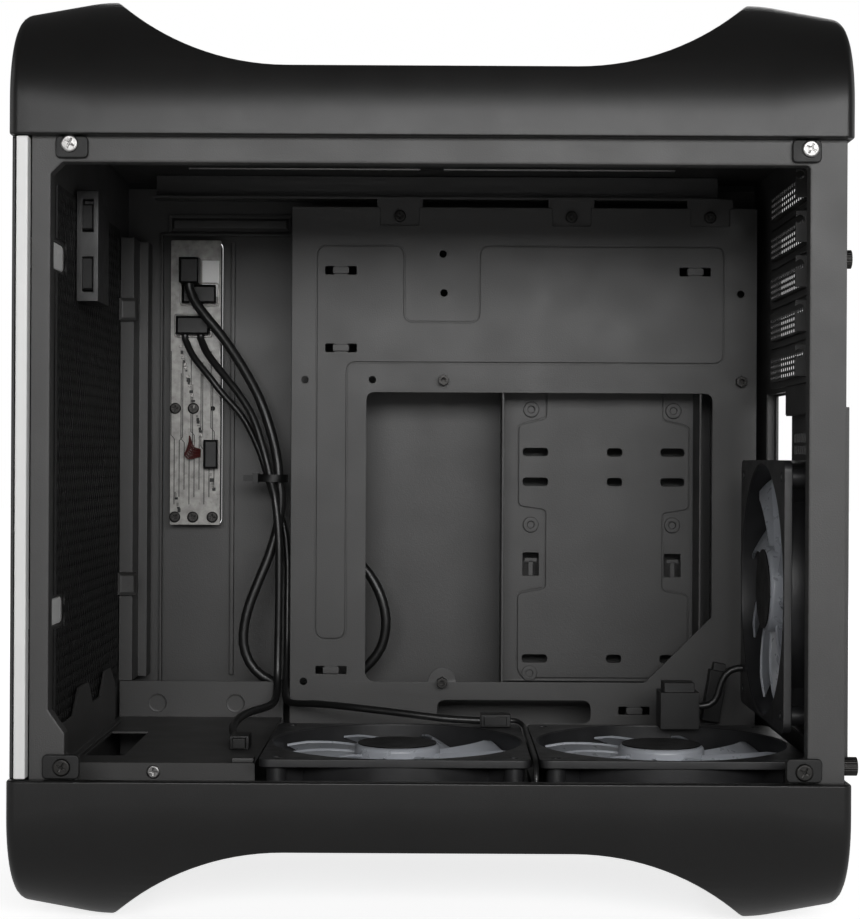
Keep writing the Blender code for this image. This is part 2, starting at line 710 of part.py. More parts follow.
def make_slot_cover(index, rise):
    """Blanking plate with a raised vented field and a bent screw tab."""
    name = f"slot_cover_{index + 1}"
    near = NEAR_SIDE + SLOT_OPEN_DEPTH - 0.010
    z = MID_Z + rise
    outside = REAR_INSIDE - SEAT
    inside = outside - COVER_THICK
    field_low = near + 0.012
    field_high = near + COVER_LENGTH - 0.012
    field_half = SLOT_OPEN_HEIGHT / 2 - 0.0008
    field_x = outside - COVER_FIELD
    plate = rectangle(near, near + COVER_LENGTH, z - COVER_HEIGHT / 2, z + COVER_HEIGHT / 2)
    hollow = rectangle(field_low + COVER_THICK / 2, field_high - COVER_THICK / 2,
                       z - field_half + COVER_THICK / 2, z + field_half - COVER_THICK / 2)
    cover = prism(name, [plate, hollow], "X", inside, outside)
    rim = rectangle(field_low, field_high, z - field_half, z + field_half)
    wall = prism(name + "_wall", [rim, inset(rim, COVER_THICK)], "X",
                 field_x + COVER_THICK / 4, outside - COVER_THICK / 4)
    vents = []
    columns = 4
    pitch = (field_high - field_low - 2 * COVER_THICK) / columns
    for column in range(columns):
        start = field_low + COVER_THICK + pitch * (column + 0.12)
        for side in (-1, 1):
            middle = z + side * field_half * 0.4
            vents.append(rectangle(start, start + pitch * 0.76, middle - 0.0012, middle + 0.0012))
    face = prism(name + "_face", [inset(rim, COVER_THICK / 5)] + vents, "X",
                 field_x, field_x + COVER_THICK)
    tab = box(name + "_tab", (inside - 0.009, near - COVER_THICK / 2, z - COVER_HEIGHT / 2 + 0.002),
              (outside - COVER_THICK / 4, near + COVER_THICK / 2, z + COVER_HEIGHT / 2 - 0.002))
    return finish(join(cover, wall, face, tab), "painted_steel")


# Board tray


BOARD_COLUMNS = {"rear": 0.16285, "middle": 0.00791, "front": -0.06448}
BOARD_ROWS = {"top": 0.0870, "upper": 0.0413, "lower": -0.1162}


def board_hole(column, row):
    """A mounting hole, measured from the tray's rear edge so that it follows the openings."""
    x = TRAY_RIGHT + (BOARD_COLUMNS[column] - 0.17155) * LONG
    return x, MID_Z + BOARD_ROWS[row] * TALL


def tray_cutout():
    right = TRAY_RIGHT - 0.0229 * LONG
    left = TRAY_LEFT + 0.0392 * LONG
    low = MID_Z - 0.116 * TALL
    high = MID_Z + 0.035 * TALL
    corner = 0.004
    ear_x = board_hole("middle", "lower")[0]
    ear = arc((ear_x, low), 0.0073 * LEAST, 180, 0, 5)
    return (
        arc((left + corner, low + corner), corner, 180, 270, 2)
        + ear
        + [(right - 0.0345 * LONG, low), (right, low + 0.033 * TALL)]
        + arc((right - corner, high - corner), corner, 0, 90, 2)
        + arc((left + corner, high - corner), corner, 90, 180, 2))


def tie_hook_places():
    places = [(0.0256, 0.0985), (0.0258, 0.058), (0.2104, 0.0985), (0.0214, -0.1102),
              (0.1797, -0.1307)]
    return [(TRAY_LEFT + x * LONG, MID_Z + rise * TALL) for x, rise in places]


def tray_notches():
    """Centres of the three notches in the tray's top edge."""
    return [TRAY_LEFT + x * LONG for x in (0.0562, 0.1458, 0.2183)]


def tray_outline():
    high = MID_Z + TRAY_TOP
    points = [(TRAY_LEFT, SHELL_LOW), (TRAY_RIGHT, SHELL_LOW), (TRAY_RIGHT, high)]
    for centre in reversed(tray_notches()):
        points += [(centre + 0.0102, high), (centre + 0.0102, high - 0.0095),
                   (centre - 0.0102, high - 0.0095), (centre - 0.0102, high)]
    points.append((TRAY_LEFT, high))
    return points


def emboss_outline():
    left = TRAY_LEFT + 0.0133 * LONG
    strip = TRAY_LEFT + 0.0285 * LONG
    right = TRAY_RIGHT - 0.0176 * LONG
    high = MID_Z + 0.1113 * TALL
    ledge = MID_Z + 0.0508 * TALL
    low = MID_Z - 0.0937 * TALL
    step_left = TRAY_LEFT + 0.0584 * LONG
    step_right = TRAY_LEFT + 0.0982 * LONG
    step = MID_Z + 0.0714 * TALL
    return [(left, low), (strip, low), (strip, ledge - 0.0045), (strip + 0.0045, ledge),
            (right, ledge), (right, high), (step_right, high), (step_right, step),
            (step_left, step), (step_left, high), (left, high)]


def make_tray():
    small = [circle(board_hole("front", "upper"), 0.002, 6),
             circle(board_hole("front", "lower"), 0.002, 6),
             circle(board_hole("middle", "top"), 0.002, 6),
             circle(board_hole("rear", "top"), 0.002, 6)]
    slot_low = MID_Z - 0.1375 * TALL
    slot_mid = TRAY_LEFT + 0.117 * LONG
    slot = rectangle(slot_mid - 0.040 * LONG, slot_mid + 0.040 * LONG, slot_low,
                     slot_low + 0.012 * TALL, 0.004, 1)
    hooks = []
    for x, z in tie_hook_places():
        for side in (-1, 1):
            start = x + side * 0.0057
            hooks.append(rectangle(start - 0.0024, start + 0.0024,
                                   z - TIE_HOOK_WIDTH / 2, z + TIE_HOOK_WIDTH / 2))
    tray = prism("motherboard_tray", [tray_outline(), tray_cutout(), slot] + small + hooks, "Y",
                 TRAY_Y, TRAY_BACK)
    lip = box("tray_lip", (TRAY_LEFT - SHEET / 6, TRAY_Y + SHEET / 3, SHELL_LOW + SHEET / 6),
              (TRAY_LEFT + SHEET, TRAY_Y + TRAY_LIP, MID_Z + TRAY_TOP - SHEET / 6))
    loose = [inset(hook, -SHEET / 8) for hook in hooks[:6]]
    field = prism("tray_emboss", [emboss_outline()] + loose, "Y", TRAY_Y - EMBOSS,
                  TRAY_Y + SHEET / 2)
    join(tray, lip, field)
    for column, row in (("middle", "upper"), ("rear", "upper"), ("middle", "lower")):
        x, z = board_hole(column, row)
        join(tray, cylinder(f"standoff_{column}_{row}", (x, TRAY_Y + SHEET / 2 - STANDOFF_HEIGHT / 2, z),
                            STANDOFF_RADIUS, STANDOFF_HEIGHT, "Y", 6))
    return finish(tray, "painted_steel")


def make_top_beam():
    """Rail under the deck that carries the tray's top edge by three screwed tabs."""
    front = FRAME_FRONT + 0.025
    rear = FRAME_REAR - 0.026
    web_y = TRAY_BACK + 0.012 * BEHIND
    low = MID_Z + TRAY_TOP + 0.0043
    profile = [
        (web_y, SHELL_HIGH - SEAT), (web_y, low + SHEET), (TRAY_BACK + SEAT, low + SHEET),
        (TRAY_BACK + SEAT, low), (web_y + SHEET, low), (web_y + SHEET, SHELL_HIGH - SEAT)]
    beam = prism("top_beam", [profile], "X", front, rear)
    for index, x in enumerate(tray_notches()):
        tab = box(f"beam_tab_{index}", (x - 0.012, TRAY_BACK + SEAT * 1.5, low - 0.018),
                  (x + 0.012, TRAY_BACK + SEAT * 1.5 + SHEET, low + SHEET / 2))
        screw = cylinder(f"beam_screw_{index}", (x, TRAY_BACK, low - 0.009), 0.0032, 0.0032, "Y", 10)
        join(beam, tab, screw)
    return finish(beam, "painted_steel")


def make_drive_bracket():
    """Folded carrier for flat drives, behind the tray's cut-out."""
    left = TRAY_LEFT + 0.1101 * LONG
    right = left + 0.1044 * LONG
    low = MID_Z - 0.1185 * TALL
    high = MID_Z + 0.060 * TALL
    face_y = TRAY_BACK + 0.0262 * BEHIND
    outline = rectangle(left + SHEET / 3, right - SHEET / 3, low, high)
    middle = (left + right) / 2
    holes = []
    for rise in (-0.0117, 0.004):
        for offset, width in ((-0.036, 0.0138), (0.0067, 0.0091), (0.0383, 0.0138)):
            x = middle + offset * LONG
            z = MID_Z + rise * TALL
            holes.append(rectangle(x - width / 2, x + width / 2, z - 0.0021, z + 0.0021, 0.0015, 1))
    for offset in (-0.036, 0.0383):
        x = middle + offset * LONG
        z = MID_Z - 0.0623 * TALL
        holes.append(rectangle(x - 0.00475, x + 0.00475, z, z + 0.0131 * TALL))
    plate = prism("drive_bracket", [outline] + holes, "Y", face_y, face_y + SHEET)
    for index, edge in enumerate((left, right - SHEET)):
        join(plate, box(f"bracket_fold_{index}", (edge, TRAY_BACK + SEAT, low + SHEET / 2),
                        (edge + SHEET, face_y + SHEET / 2, high - SHEET / 2)))
    half = 0.0378 * LONG
    for index, (offset, rise) in enumerate(((-half, 0.0275), (half, 0.0275), (-half, -0.0345),
                                            (half, -0.0345), (-half, -0.110))):
        join(plate, cylinder(f"bracket_boss_{index}",
                             (middle + offset, face_y - 0.0006 + SHEET / 2, MID_Z + rise * TALL),
                             0.0042, 0.0024, "Y", 10))
    return finish(plate, "painted_steel")


# Front corner inside


def make_front_post():
    """Folded post between the front wall and the far side, stepping back in three faces."""
    x = WALL_INSIDE + SEAT + SHEET
    y = NEAR_SIDE + 0.205 * WIDE
    bend = y + 0.020 * WIDE
    steps = [(x, y), (x + 0.0071, y), (x + 0.0071, bend), (x + 0.0118, bend),
             (x + 0.0118, BODY_HALF - WINDOW_LIP / 2 - SEAT)]
    back = [(u - SHEET, v + (SHEET if index < 4 else 0)) for index, (u, v) in enumerate(steps)]
    back[0] = (x, y + SHEET)
    outline = steps + list(reversed(back))
    post = prism("far_front_post", [outline], "Z", MID_Z - JOINT_RISE + 0.020,
                 MID_Z + JOINT_RISE - 0.021)
    return finish(post, "painted_steel")


def make_lower_far_plate():
    low = SHELL_LOW
    high = MID_Z - JOINT_RISE + 0.0197
    ledge = MID_Z - JOINT_RISE - SHEET / 2
    y = NEAR_SIDE + 0.206 * WIDE
    profile = [(y, ledge), (y, high), (y + SHEET, high), (y + SHEET, ledge + SHEET),
               (y + 0.0042, ledge + SHEET), (y + 0.0042, low), (y + 0.003, low),
               (y + 0.003, ledge)]
    plate = prism("lower_far_plate", [profile], "X", WALL_INSIDE + 0.0018, TRAY_LEFT - 0.004)
    return finish(plate, "painted_steel")


def make_front_platform():
    """Raised folded shelf on the floor ahead of the fans."""
    front = WALL_INSIDE + 0.0015
    rear = TRAY_LEFT - 0.0049
    near = NEAR_SIDE + 0.047 * WIDE
    far = NEAR_SIDE + 0.2055 * WIDE
    top = MID_Z - JOINT_RISE + 0.001
    profile = [(near, SHELL_LOW), (near, top), (far, top), (far, top - SHEET),
               (near + SHEET, top - SHEET), (near + SHEET, SHELL_LOW)]
    shelf = prism("front_platform", [profile], "X", front, rear)
    window = box("platform_window", (front + 0.006, near + 0.021 * WIDE, top - 0.01),
                 (front + 0.024, near + 0.101 * WIDE, top + 0.01))
    return finish(cut(shelf, window), "painted_steel")


def make_lower_front_bracket():
    """Upright plate inside the front wall with two notches in its top edge."""
    x = WALL_INSIDE + 0.0004 + 0.0022
    near = NEAR_SIDE + 0.030 * WIDE
    base = MID_Z - JOINT_RISE + 0.001 + SEAT
    rise = base + 0.0187
    peak = base + 0.0297
    outline = [(0.018, base), (0.150, base), (0.150, rise + 0.001), (0.135, peak), (0.118, peak),
               (0.105, rise), (0.082, rise), (0.070, peak), (0.045, peak), (0.030, rise),
               (0.0, rise), (0.0, base + 0.006)]
    outline = [(near + across * WIDE, z) for across, z in outline]
    plate = prism("lower_front_bracket", [outline], "X", x, x + SHEET)
    foot = box("bracket_foot", (x + SHEET / 2, near + 0.018 * WIDE, base),
               (x + 0.0042, near + 0.150 * WIDE, base + SHEET))
    return finish(join(plate, foot), "painted_steel")


# Far side


def control_front():
    return FRONT_END + CONTROL_FRONT_GAP


def make_far_cover():
    """Removable side cover on the far side, with a window for the front controls."""
    inner = FAR_SIDE - 0.0032
    outer = FAR_SIDE - 0.002
    high = JOINT_RISE - SEAT
    outline = rectangle(FRAME_FRONT, FRAME_REAR, MID_Z - high, MID_Z + high)
    left = control_front()
    window = rectangle(left, left + CONTROL_WIDTH, MID_Z + CONTROL_BOTTOM, MID_Z + CONTROL_TOP,
                       0.003, 3)
    cover = prism("far_cover", [outline, window], "Y", inner, outer)
    fold = prism("far_cover_fold", [outline, inset(outline, SHEET)], "Y",
                 BODY_HALF + SEAT, outer - SHEET / 2)
    rib_x = TRAY_LEFT - 0.0366 * LONG
    rib = box("far_cover_rib", (rib_x, inner - 0.003, MID_Z - JOINT_RISE + 0.019),
              (rib_x + 0.0022, inner + SHEET / 2, MID_Z + JOINT_RISE - 0.019))
    return finish(join(cover, fold, rib), "painted_steel")


def control_outline(shrink):
    left = control_front() + shrink
    right = control_front() + CONTROL_WIDTH - shrink
    return rectangle(left, right, MID_Z + CONTROL_BOTTOM + shrink, MID_Z + CONTROL_TOP - shrink,
                     0.003 - shrink, 3)


def port_outline(rise, gap):
    x = control_front() + CONTROL_WIDTH / 2
    return rectangle(x - USB_WIDTH / 2 - gap, x + USB_WIDTH / 2 + gap,
                     MID_Z + rise - USB_LENGTH / 2 - gap, MID_Z + rise + USB_LENGTH / 2 + gap)


def make_bezel():
    """Moulded strip that carries the buttons and ports, on two legs that reach the board."""
    outer = FAR_SIDE - 0.001
    x = control_front() + CONTROL_WIDTH / 2
    holes = [circle((x, MID_Z + POWER_RISE), POWER_RADIUS + BUTTON_GAP, 16),
             circle((x, MID_Z + RESET_RISE), RESET_RADIUS + BUTTON_GAP, 10)]
    holes += [port_outline(rise, SEAT) for rise in USB_RISES]
    holes += [circle((x, MID_Z + rise), JACK_RADIUS + SEAT, 12) for rise in JACK_RISES]
    bezel = prism("io_bezel", [control_outline(SEAT)] + holes, "Y", outer - BEZEL_THICK, outer)
    board_face = NEAR_SIDE + BOARD_DEPTH + BOARD_THICK + SEAT
    for index, rise in enumerate((CONTROL_TOP - 0.0035, CONTROL_BOTTOM + 0.0035)):
        join(bezel, box(f"bezel_leg_{index}", (x - 0.009, board_face, MID_Z + rise - 0.0025),
                        (x + 0.009, outer - BEZEL_THICK / 2, MID_Z + rise + 0.0025)))
    return finish(bezel, "black_plastic")


def make_button(name, rise, radius, sides):
    """Round push button with a flange behind the bezel that keeps it in."""
    x = control_front() + CONTROL_WIDTH / 2
    back = FAR_SIDE - 0.001 - BEZEL_THICK - SEAT
    face = FAR_SIDE - SEAT
    stem_end = NEAR_SIDE + BOARD_DEPTH + BOARD_THICK + BUTTON_TRAVEL + 0.0006
    centre = (x, (back + face) / 2, MID_Z + rise)
    button = cylinder(name, centre, radius, face - back + SHEET / 2, "Y", sides)
    flange = cylinder(name + "_flange", (x, back - SHEET / 2, MID_Z + rise), radius + 0.0014,
                      SHEET, "Y", sides)
    stem = cylinder(name + "_stem", (x, (back + stem_end) / 2 - SHEET / 4, MID_Z + rise),
                    radius * 0.5, back - stem_end - SHEET / 2, "Y", 8)
    return finish(join(button, flange, stem), "black_plastic", 40)


def make_usb_port(index, rise):
    """Open metal receptacle with its tongue."""
    name = f"usb_port_{index + 1}"
    back = NEAR_SIDE + BOARD_DEPTH + BOARD_THICK + SEAT
    front = FAR_SIDE - 0.001 - SEAT
    shell = prism(name, [port_outline(rise, 0.0)], "Y", back, front)
    hollow = prism(name + "_hollow", [inset(port_outline(rise, 0.0), 0.0005)], "Y",
                   back + 0.002, front + 0.002)
    x = control_front() + CONTROL_WIDTH / 2
    tongue = box(name + "_tongue", (x + 0.0002, back + 0.001, MID_Z + rise - 0.005),
                 (x + 0.0020, front - 0.001, MID_Z + rise + 0.005))
    return finish(join(cut(shell, hollow), tongue), "port_metal")


def make_jack(index, rise):
    name = f"audio_jack_{index + 1}"
    back = NEAR_SIDE + BOARD_DEPTH + BOARD_THICK + SEAT
    front = FAR_SIDE - 0.001 - SEAT
    x = control_front() + CONTROL_WIDTH / 2
    body = cylinder(name, (x, (back + front) / 2, MID_Z + rise), JACK_RADIUS, front - back, "Y", 12)
    bore = cylinder(name + "_bore", (x, front, MID_Z + rise), 0.00175, 0.014, "Y", 8)
    return finish(cut(body, bore), "black_plastic", 40)


def make_control_board():
    """Circuit board behind the controls, with the sockets that the leads plug into."""
    y = NEAR_SIDE + BOARD_DEPTH
    left = control_front()
    outline = rectangle(left, left + CONTROL_WIDTH, MID_Z + CONTROL_BOTTOM, MID_Z + CONTROL_TOP)
    board = prism("io_board", [outline], "Y", y, y + BOARD_THICK)
    face = y + BOARD_THICK / 3
    sockets = {
        "usb": ((0.0055, 0.0160), 0.0107, (0.0942, 0.1080)),
        "power": ((0.0064, 0.0246), 0.0042, (0.0839, 0.0936)),
        "audio": ((0.0033, 0.0210), 0.0052, (0.0670, 0.0767)),
        "header": ((0.0185, 0.0260), 0.0057, (-0.0055, 0.0100)),
    }
    for label, (across, proud, rises) in sockets.items():
        join(board, box(f"board_{label}", (left + across[0], y - proud, MID_Z + rises[0] * TALL),
                        (left + across[1], face, MID_Z + rises[1] * TALL)))
    return finish(board, "circuit_board")


# Fans


def make_fan_frame(name, centre, axis):
    """Square fan frame: two flanges, the round duct between them and the motor's spider."""
    base = -FAN_THICK / 2
    top = FAN_THICK / 2
    half = FAN_SIZE / 2
    square = rectangle(-half, half, -half, half, 0.006, 1)
    bore = circle((0, 0), FAN_BORE + 0.0008, 20)
    frame = prism(name, [square, bore], "Z", base, base + FAN_FLANGE)
    flange = prism(name + "_flange", [square, bore], "Z", top - FAN_FLANGE, top)
    duct = prism(name + "_duct", [circle((0, 0), half - 0.0003, 20), circle((0, 0), FAN_BORE, 20)],
                 "Z", base + 0.0004, top - 0.0004)
    motor = cylinder(name + "_motor", (0, 0, base + 0.0018), FAN_HUB + 0.001, 0.0024, "Z", 12)
    join(frame, flange, duct, motor)
    for index in range(2):
        arm = box(f"{name}_arm_{index}", (-FAN_BORE - 0.001, -0.0025, base + 0.0009),
                  (FAN_BORE + 0.001, 0.0025, base + 0.0027))
        arm.matrix_world = Matrix.Rotation(math.radians(45 + 90 * index), 4, "Z") @ arm.matrix_world
        join(frame, arm)
    hold = bpy.data.objects.new(name + "_place", None)
    CUTTERS.objects.link(hold)
    for obj in [frame] + [modifier.object for modifier in frame.modifiers]:
        obj.parent = hold
    hold.matrix_world = Matrix.Translation(centre) @ axis
    return finish(frame, "fan_frame_plastic", 40)


def make_rotor(name, centre, axis):
    """Hub and swept, twisted blades; the origin is on the spindle."""
    base = -FAN_THICK / 2 + 0.0033
    top = FAN_THICK / 2 - 0.0012
    bm = bmesh.new()
    bmesh.ops.create_cone(bm, cap_ends=True, segments=18, radius1=FAN_HUB, radius2=FAN_HUB,
                          depth=top - base, matrix=Matrix.Translation((0, 0, (top + base) / 2)))
    rotor = add_object(name, mesh_from_bmesh(name, bm))
    blades = []
    for index in range(BLADE_COUNT):
        turn = math.radians(360 * index / BLADE_COUNT)
        blade = make_blade(f"{name}_blade_{index}", turn, (top + base) / 2)
        join(rotor, blade)
        blades.append(blade)
    for obj in blades:
        obj.parent = rotor
    rotor.matrix_world = Matrix.Translation(centre) @ axis
    return finish(rotor, "fan_blade", 40)


def make_blade(name, turn, middle):
    """A sheet from hub to tip: its chord sweeps forward and its pitch flattens outwards."""
    spans = 3
    inner = FAN_HUB - 0.0012
    outer = FAN_BORE - BLADE_GAP
    bm = bmesh.new()
    rows = []
    for step in range(spans + 1):
        share = step / spans
        radius = inner + (outer - inner) * share
        pitch = math.radians(48 - 22 * share)
        chord = 0.0150 + 0.0125 * share
        sweep = math.radians(26) * share ** 1.4
        row = []
        for along in (-0.5, 0.0, 0.5):
            camber = 0.0012 * (1 - abs(2 * along))
            across = along * chord * math.cos(pitch)
            lift = along * chord * math.sin(pitch) + camber
            angle = turn + sweep + across / radius
            row.append(bm.verts.new((radius * math.cos(angle), radius * math.sin(angle),
                                     middle + lift)))
        rows.append(row)
    for first, second in zip(rows, rows[1:]):
        for index in range(2):
            bm.faces.new((first[index], first[index + 1], second[index + 1], second[index]))
    blade = add_object(name, mesh_from_bmesh(name, bm))
    wall = blade.modifiers.new("thickness", "SOLIDIFY")
    wall.thickness = BLADE_THICK
    wall.offset = 0.0
    return blade


# Small fittings


def make_clip(name, place):
    """Moulded ear of a handle that a corner screw holds to the steel frame."""
    x, rise, front_reach, rear_reach, inner_reach = place
    side = 1 if rise > 0 else -1
    outer_y = -BODY_HALF - SEAT - 0.0022
    edge = side * (JOINT_RISE - SEAT)
    low, high = sorted((MID_Z + edge, MID_Z + rise - side * inner_reach))
    outline = rectangle(x - front_reach, x + rear_reach, low, high, 0.002, 2)
    hole = circle((x, MID_Z + rise), 0.0021, 8)
    return finish(prism(name, [outline, hole], "Y", outer_y, -BODY_HALF - SEAT), "black_plastic")


def make_corner_screw(name, place, material):
    x, rise = place[:2]
    face = -BODY_HALF - SEAT - 0.0022 - SEAT
    head = cylinder(name, (x, face - 0.0007, MID_Z + rise), 0.0027, 0.0014, "Y", 14, 0.0031)
    shank = cylinder(name + "_shank", (x, face + 0.003, MID_Z + rise), 0.0016, 0.0068, "Y", 8)
    return finish(join(head, shank), material, 40)


def thumbscrew_places():
    """Centres of the rear thumbscrews, as Y and Z."""
    return {"upper_thumbscrew": (NEAR_SIDE + 0.0130, MID_Z + 0.0868 * TALL),
            "lower_thumbscrew": (NEAR_SIDE + 0.0130, MID_Z - 0.1308 * TALL)}


def make_thumbscrew(name, place, reach):
    y, z = place
    start = FRAME_REAR + SEAT
    head = cylinder(name, ((start + reach) / 2, y, z), 0.0041, reach - start, "X", 16)
    shank = cylinder(name + "_shank", (start - 0.0025, y, z), 0.0016, 0.0060, "X", 8)
    return finish(join(head, shank), "black_screw", 40)


def make_fan_hub():
    """Connector box for the fans, on the front mesh."""
    x = WALL_INSIDE + SEAT + SHEET / 1.2 + SEAT
    near = NEAR_SIDE + 0.074 * WIDE
    low = MID_Z + JOINT_RISE - 0.065
    high = low + 0.051
    body = box("fan_hub", (x, near, low), (x + 0.010, near + 0.030, high))
    for index, (bottom, top) in enumerate(((0.0045, 0.0205), (0.032, 0.047))):
        cut(body, box(f"hub_socket_{index}", (x + 0.0027, near - 0.002, low + bottom),
                      (x + 0.0078, near + 0.006, low + top)))
    return finish(body, "black_plastic")


# Cords


def smooth_route(points, spacing):
    """Read evenly spaced points from a smooth curve through the route's own points.

    The first and last legs stay straight, so the cord leaves its plugs squarely.
    """
    knots = [Vector(point) for point in points[1:-1]]
    knots = [2 * knots[0] - knots[1]] + knots + [2 * knots[-1] - knots[-2]]
    fine = []
    for index in range(1, len(knots) - 2):
        before, start, end, after = knots[index - 1:index + 3]
        for step in range(12):
            t = step / 12
            fine.append(0.5 * (2 * start + (end - before) * t
                               + (2 * before - 5 * start + 4 * end - after) * t ** 2
                               + (3 * start - before - 3 * end + after) * t ** 3))
    fine.append(knots[-2])
    length = sum((second - first).length for first, second in zip(fine, fine[1:]))
    count = max(2, round(length / spacing))
    result = [fine[0]]
    travelled = 0.0
    for first, second in zip(fine, fine[1:]):
        piece = (second - first).length
        while len(result) < count and travelled + piece >= length * len(result) / count:
            share = (length * len(result) / count - travelled) / piece
            result.append(first.lerp(second, share))
        travelled += piece
    return [Vector(points[0])] + result + [fine[-1], Vector(points[-1])]


def follow(point):
    """Move a point of a lead's route with the size of the case; what lies low stays low."""
    x, y, z = point
    low = 0.080
    if z > low:
        z = low + (z - low) * (MID_Z + JOINT_RISE - low) / (0.341 - low)
    return Vector((BODY_X + (x + 0.00205) * LONG, y * WIDE, z))


def rear_lead_shift(share):
    """How far the rear fan's short lead moves with the two fans that it lies between."""
    on_rear = Vector((REAR_END - 0.17745,
                      NEAR_SIDE + REAR_FAN_DEPTH + FAN_SIZE / 2 - 0.022,
                      MID_Z + REAR_FAN_RISE - FAN_SIZE / 2 - 0.0845))
    on_floor = Vector((REAR_END - 0.17745,
                       NEAR_SIDE + FLOOR_FAN_DEPTH + FAN_SIZE / 2 - 0.0255, 0.0))
    return on_rear.lerp(on_floor, share)


def make_cord(name, points, diameter):
    curve = bpy.data.curves.new(name, "CURVE")
    curve.dimensions = "3D"
    curve.bevel_depth = diameter / 2
    curve.bevel_resolution = 2
    curve.use_fill_caps = True
    route = smooth_route(points, diameter * 3)
    spline = curve.splines.new("POLY")
    spline.points.add(len(route) - 1)
    for point, place in zip(spline.points, route):
        point.co = (*place, 1)
    return finish(curve_to_mesh(name, curve, Matrix.Identity(4)), "cord_sleeve", 60)


USB_ROUTE = [
    (-0.1323, 0.1032, 0.2979), (-0.1323, 0.1032, 0.2955), (-0.1290, 0.1024, 0.2880),
    (-0.1225, 0.1012, 0.2795), (-0.1142, 0.1000, 0.2695), (-0.1025, 0.0970, 0.2524),
    (-0.0931, 0.0940, 0.2352), (-0.0870, 0.0920, 0.2182), (-0.0836, 0.0900, 0.2044),
    (-0.0824, 0.0890, 0.1938), (-0.0813, 0.0890, 0.1848), (-0.0823, 0.0890, 0.1715),
    (-0.0869, 0.0880, 0.1540), (-0.0936, 0.0870, 0.1371), (-0.0987, 0.0865, 0.1228),
    (-0.1007, 0.0865, 0.1080), (-0.0975, 0.0870, 0.0964), (-0.0907, 0.0875, 0.0889),
    (-0.0813, 0.0890, 0.0845), (-0.0707, 0.0900, 0.0823), (-0.0575, 0.0900, 0.0834),
    (-0.0442, 0.0900, 0.0877), (-0.0341, 0.0890, 0.0953), (-0.0272, 0.0880, 0.1055),
    (-0.0252, 0.0870, 0.1189), (-0.0284, 0.0870, 0.1326), (-0.0359, 0.0880, 0.1453),
    (-0.0462, 0.0892, 0.1540), (-0.0555, 0.0900, 0.1567), (-0.0578, 0.0900, 0.1567)]

AUDIO_ROUTE = [
    (-0.1350, 0.1082, 0.2707), (-0.1350, 0.1082, 0.2685), (-0.1300, 0.1035, 0.2590),
    (-0.1210, 0.1000, 0.2480), (-0.1139, 0.0990, 0.2390), (-0.1023, 0.0970, 0.2256),
    (-0.0939, 0.0940, 0.2096), (-0.0884, 0.0918, 0.1938), (-0.0850, 0.0945, 0.1820),
    (-0.0800, 0.0945, 0.1680), (-0.0778, 0.0920, 0.1500), (-0.0775, 0.0890, 0.1300),
    (-0.0773, 0.0855, 0.1080), (-0.0772, 0.0795, 0.0940), (-0.0771, 0.0720, 0.0840),
    (-0.0762, 0.0655, 0.0795), (-0.0719, 0.0580, 0.0782), (-0.0576, 0.0450, 0.0794),
    (-0.0418, 0.0310, 0.0797), (-0.0165, 0.0220, 0.0780), (0.0048, 0.0180, 0.0760),
    (0.0205, 0.0170, 0.0752), (0.0231, 0.0170, 0.0752)]

PANEL_ROUTE = [
    (-0.1265, 0.1083, 0.2707), (-0.1265, 0.1083, 0.2685), (-0.1220, 0.1020, 0.2600),
    (-0.1130, 0.0960, 0.2490), (-0.1040, 0.0925, 0.2380), (-0.0965, 0.0895, 0.2260),
    (-0.0915, 0.0870, 0.2120), (-0.0883, 0.0853, 0.2010), (-0.0863, 0.0843, 0.1922),
    (-0.0838, 0.0818, 0.1820), (-0.0817, 0.0805, 0.1610), (-0.0815, 0.0805, 0.1300),
    (-0.0818, 0.0800, 0.1030), (-0.0818, 0.0772, 0.0880), (-0.0818, 0.0700, 0.0805),
    (-0.0830, 0.0600, 0.0776), (-0.0865, 0.0470, 0.0770), (-0.0920, 0.0330, 0.0767),
    (-0.0960, 0.0180, 0.0756), (-0.0976, 0.0030, 0.0732), (-0.0950, -0.0130, 0.0714),
    (-0.0908, -0.0225, 0.0712), (-0.0905, -0.0250, 0.0712)]

FAN_ROUTE = [
    (0.0383, 0.0170, 0.0752), (0.0403, 0.0170, 0.0752), (0.0430, 0.0150, 0.0744),
    (0.0446, 0.0110, 0.0730), (0.0449, 0.0000, 0.0724), (0.0449, -0.0200, 0.0723),
    (0.0449, -0.0500, 0.0722), (0.0449, -0.0800, 0.0720), (0.0449, -0.0920, 0.0709),
    (0.0449, -0.0966, 0.0670), (0.0449, -0.0978, 0.0600), (0.0449, -0.0978, 0.0500),
    (0.0449, -0.0978, 0.0474)]

REAR_FAN_ROUTE = [
    (0.1521, 0.0140, 0.1020), (0.1499, 0.0140, 0.1020), (0.1450, 0.0143, 0.1000),
    (0.1418, 0.0148, 0.0945), (0.1400, 0.0153, 0.0880), (0.1372, 0.0155, 0.0842),
    (0.1325, 0.0155, 0.0830), (0.1303, 0.0155, 0.0830)]


def make_cable_tie():
    """Band round the three leads, with its lock and a short tail."""
    centre = follow((-0.0857, 0.0885, 0.1937))
    band = prism("cable_tie", [circle(centre.xy, 0.0082, 14), circle(centre.xy, 0.0071, 14)], "Z",
                 centre.z - 0.002, centre.z + 0.002)
    lock = box("tie_lock", centre + Vector((-0.0105, -0.0025, -0.0028)),
               centre + Vector((-0.0072, 0.0025, 0.0028)))
    tail = box("tie_tail", centre + Vector((-0.0155, -0.0006, -0.0016)),
               centre + Vector((-0.0095, 0.0006, 0.0016)))
    return finish(join(band, lock, tail), "black_plastic")


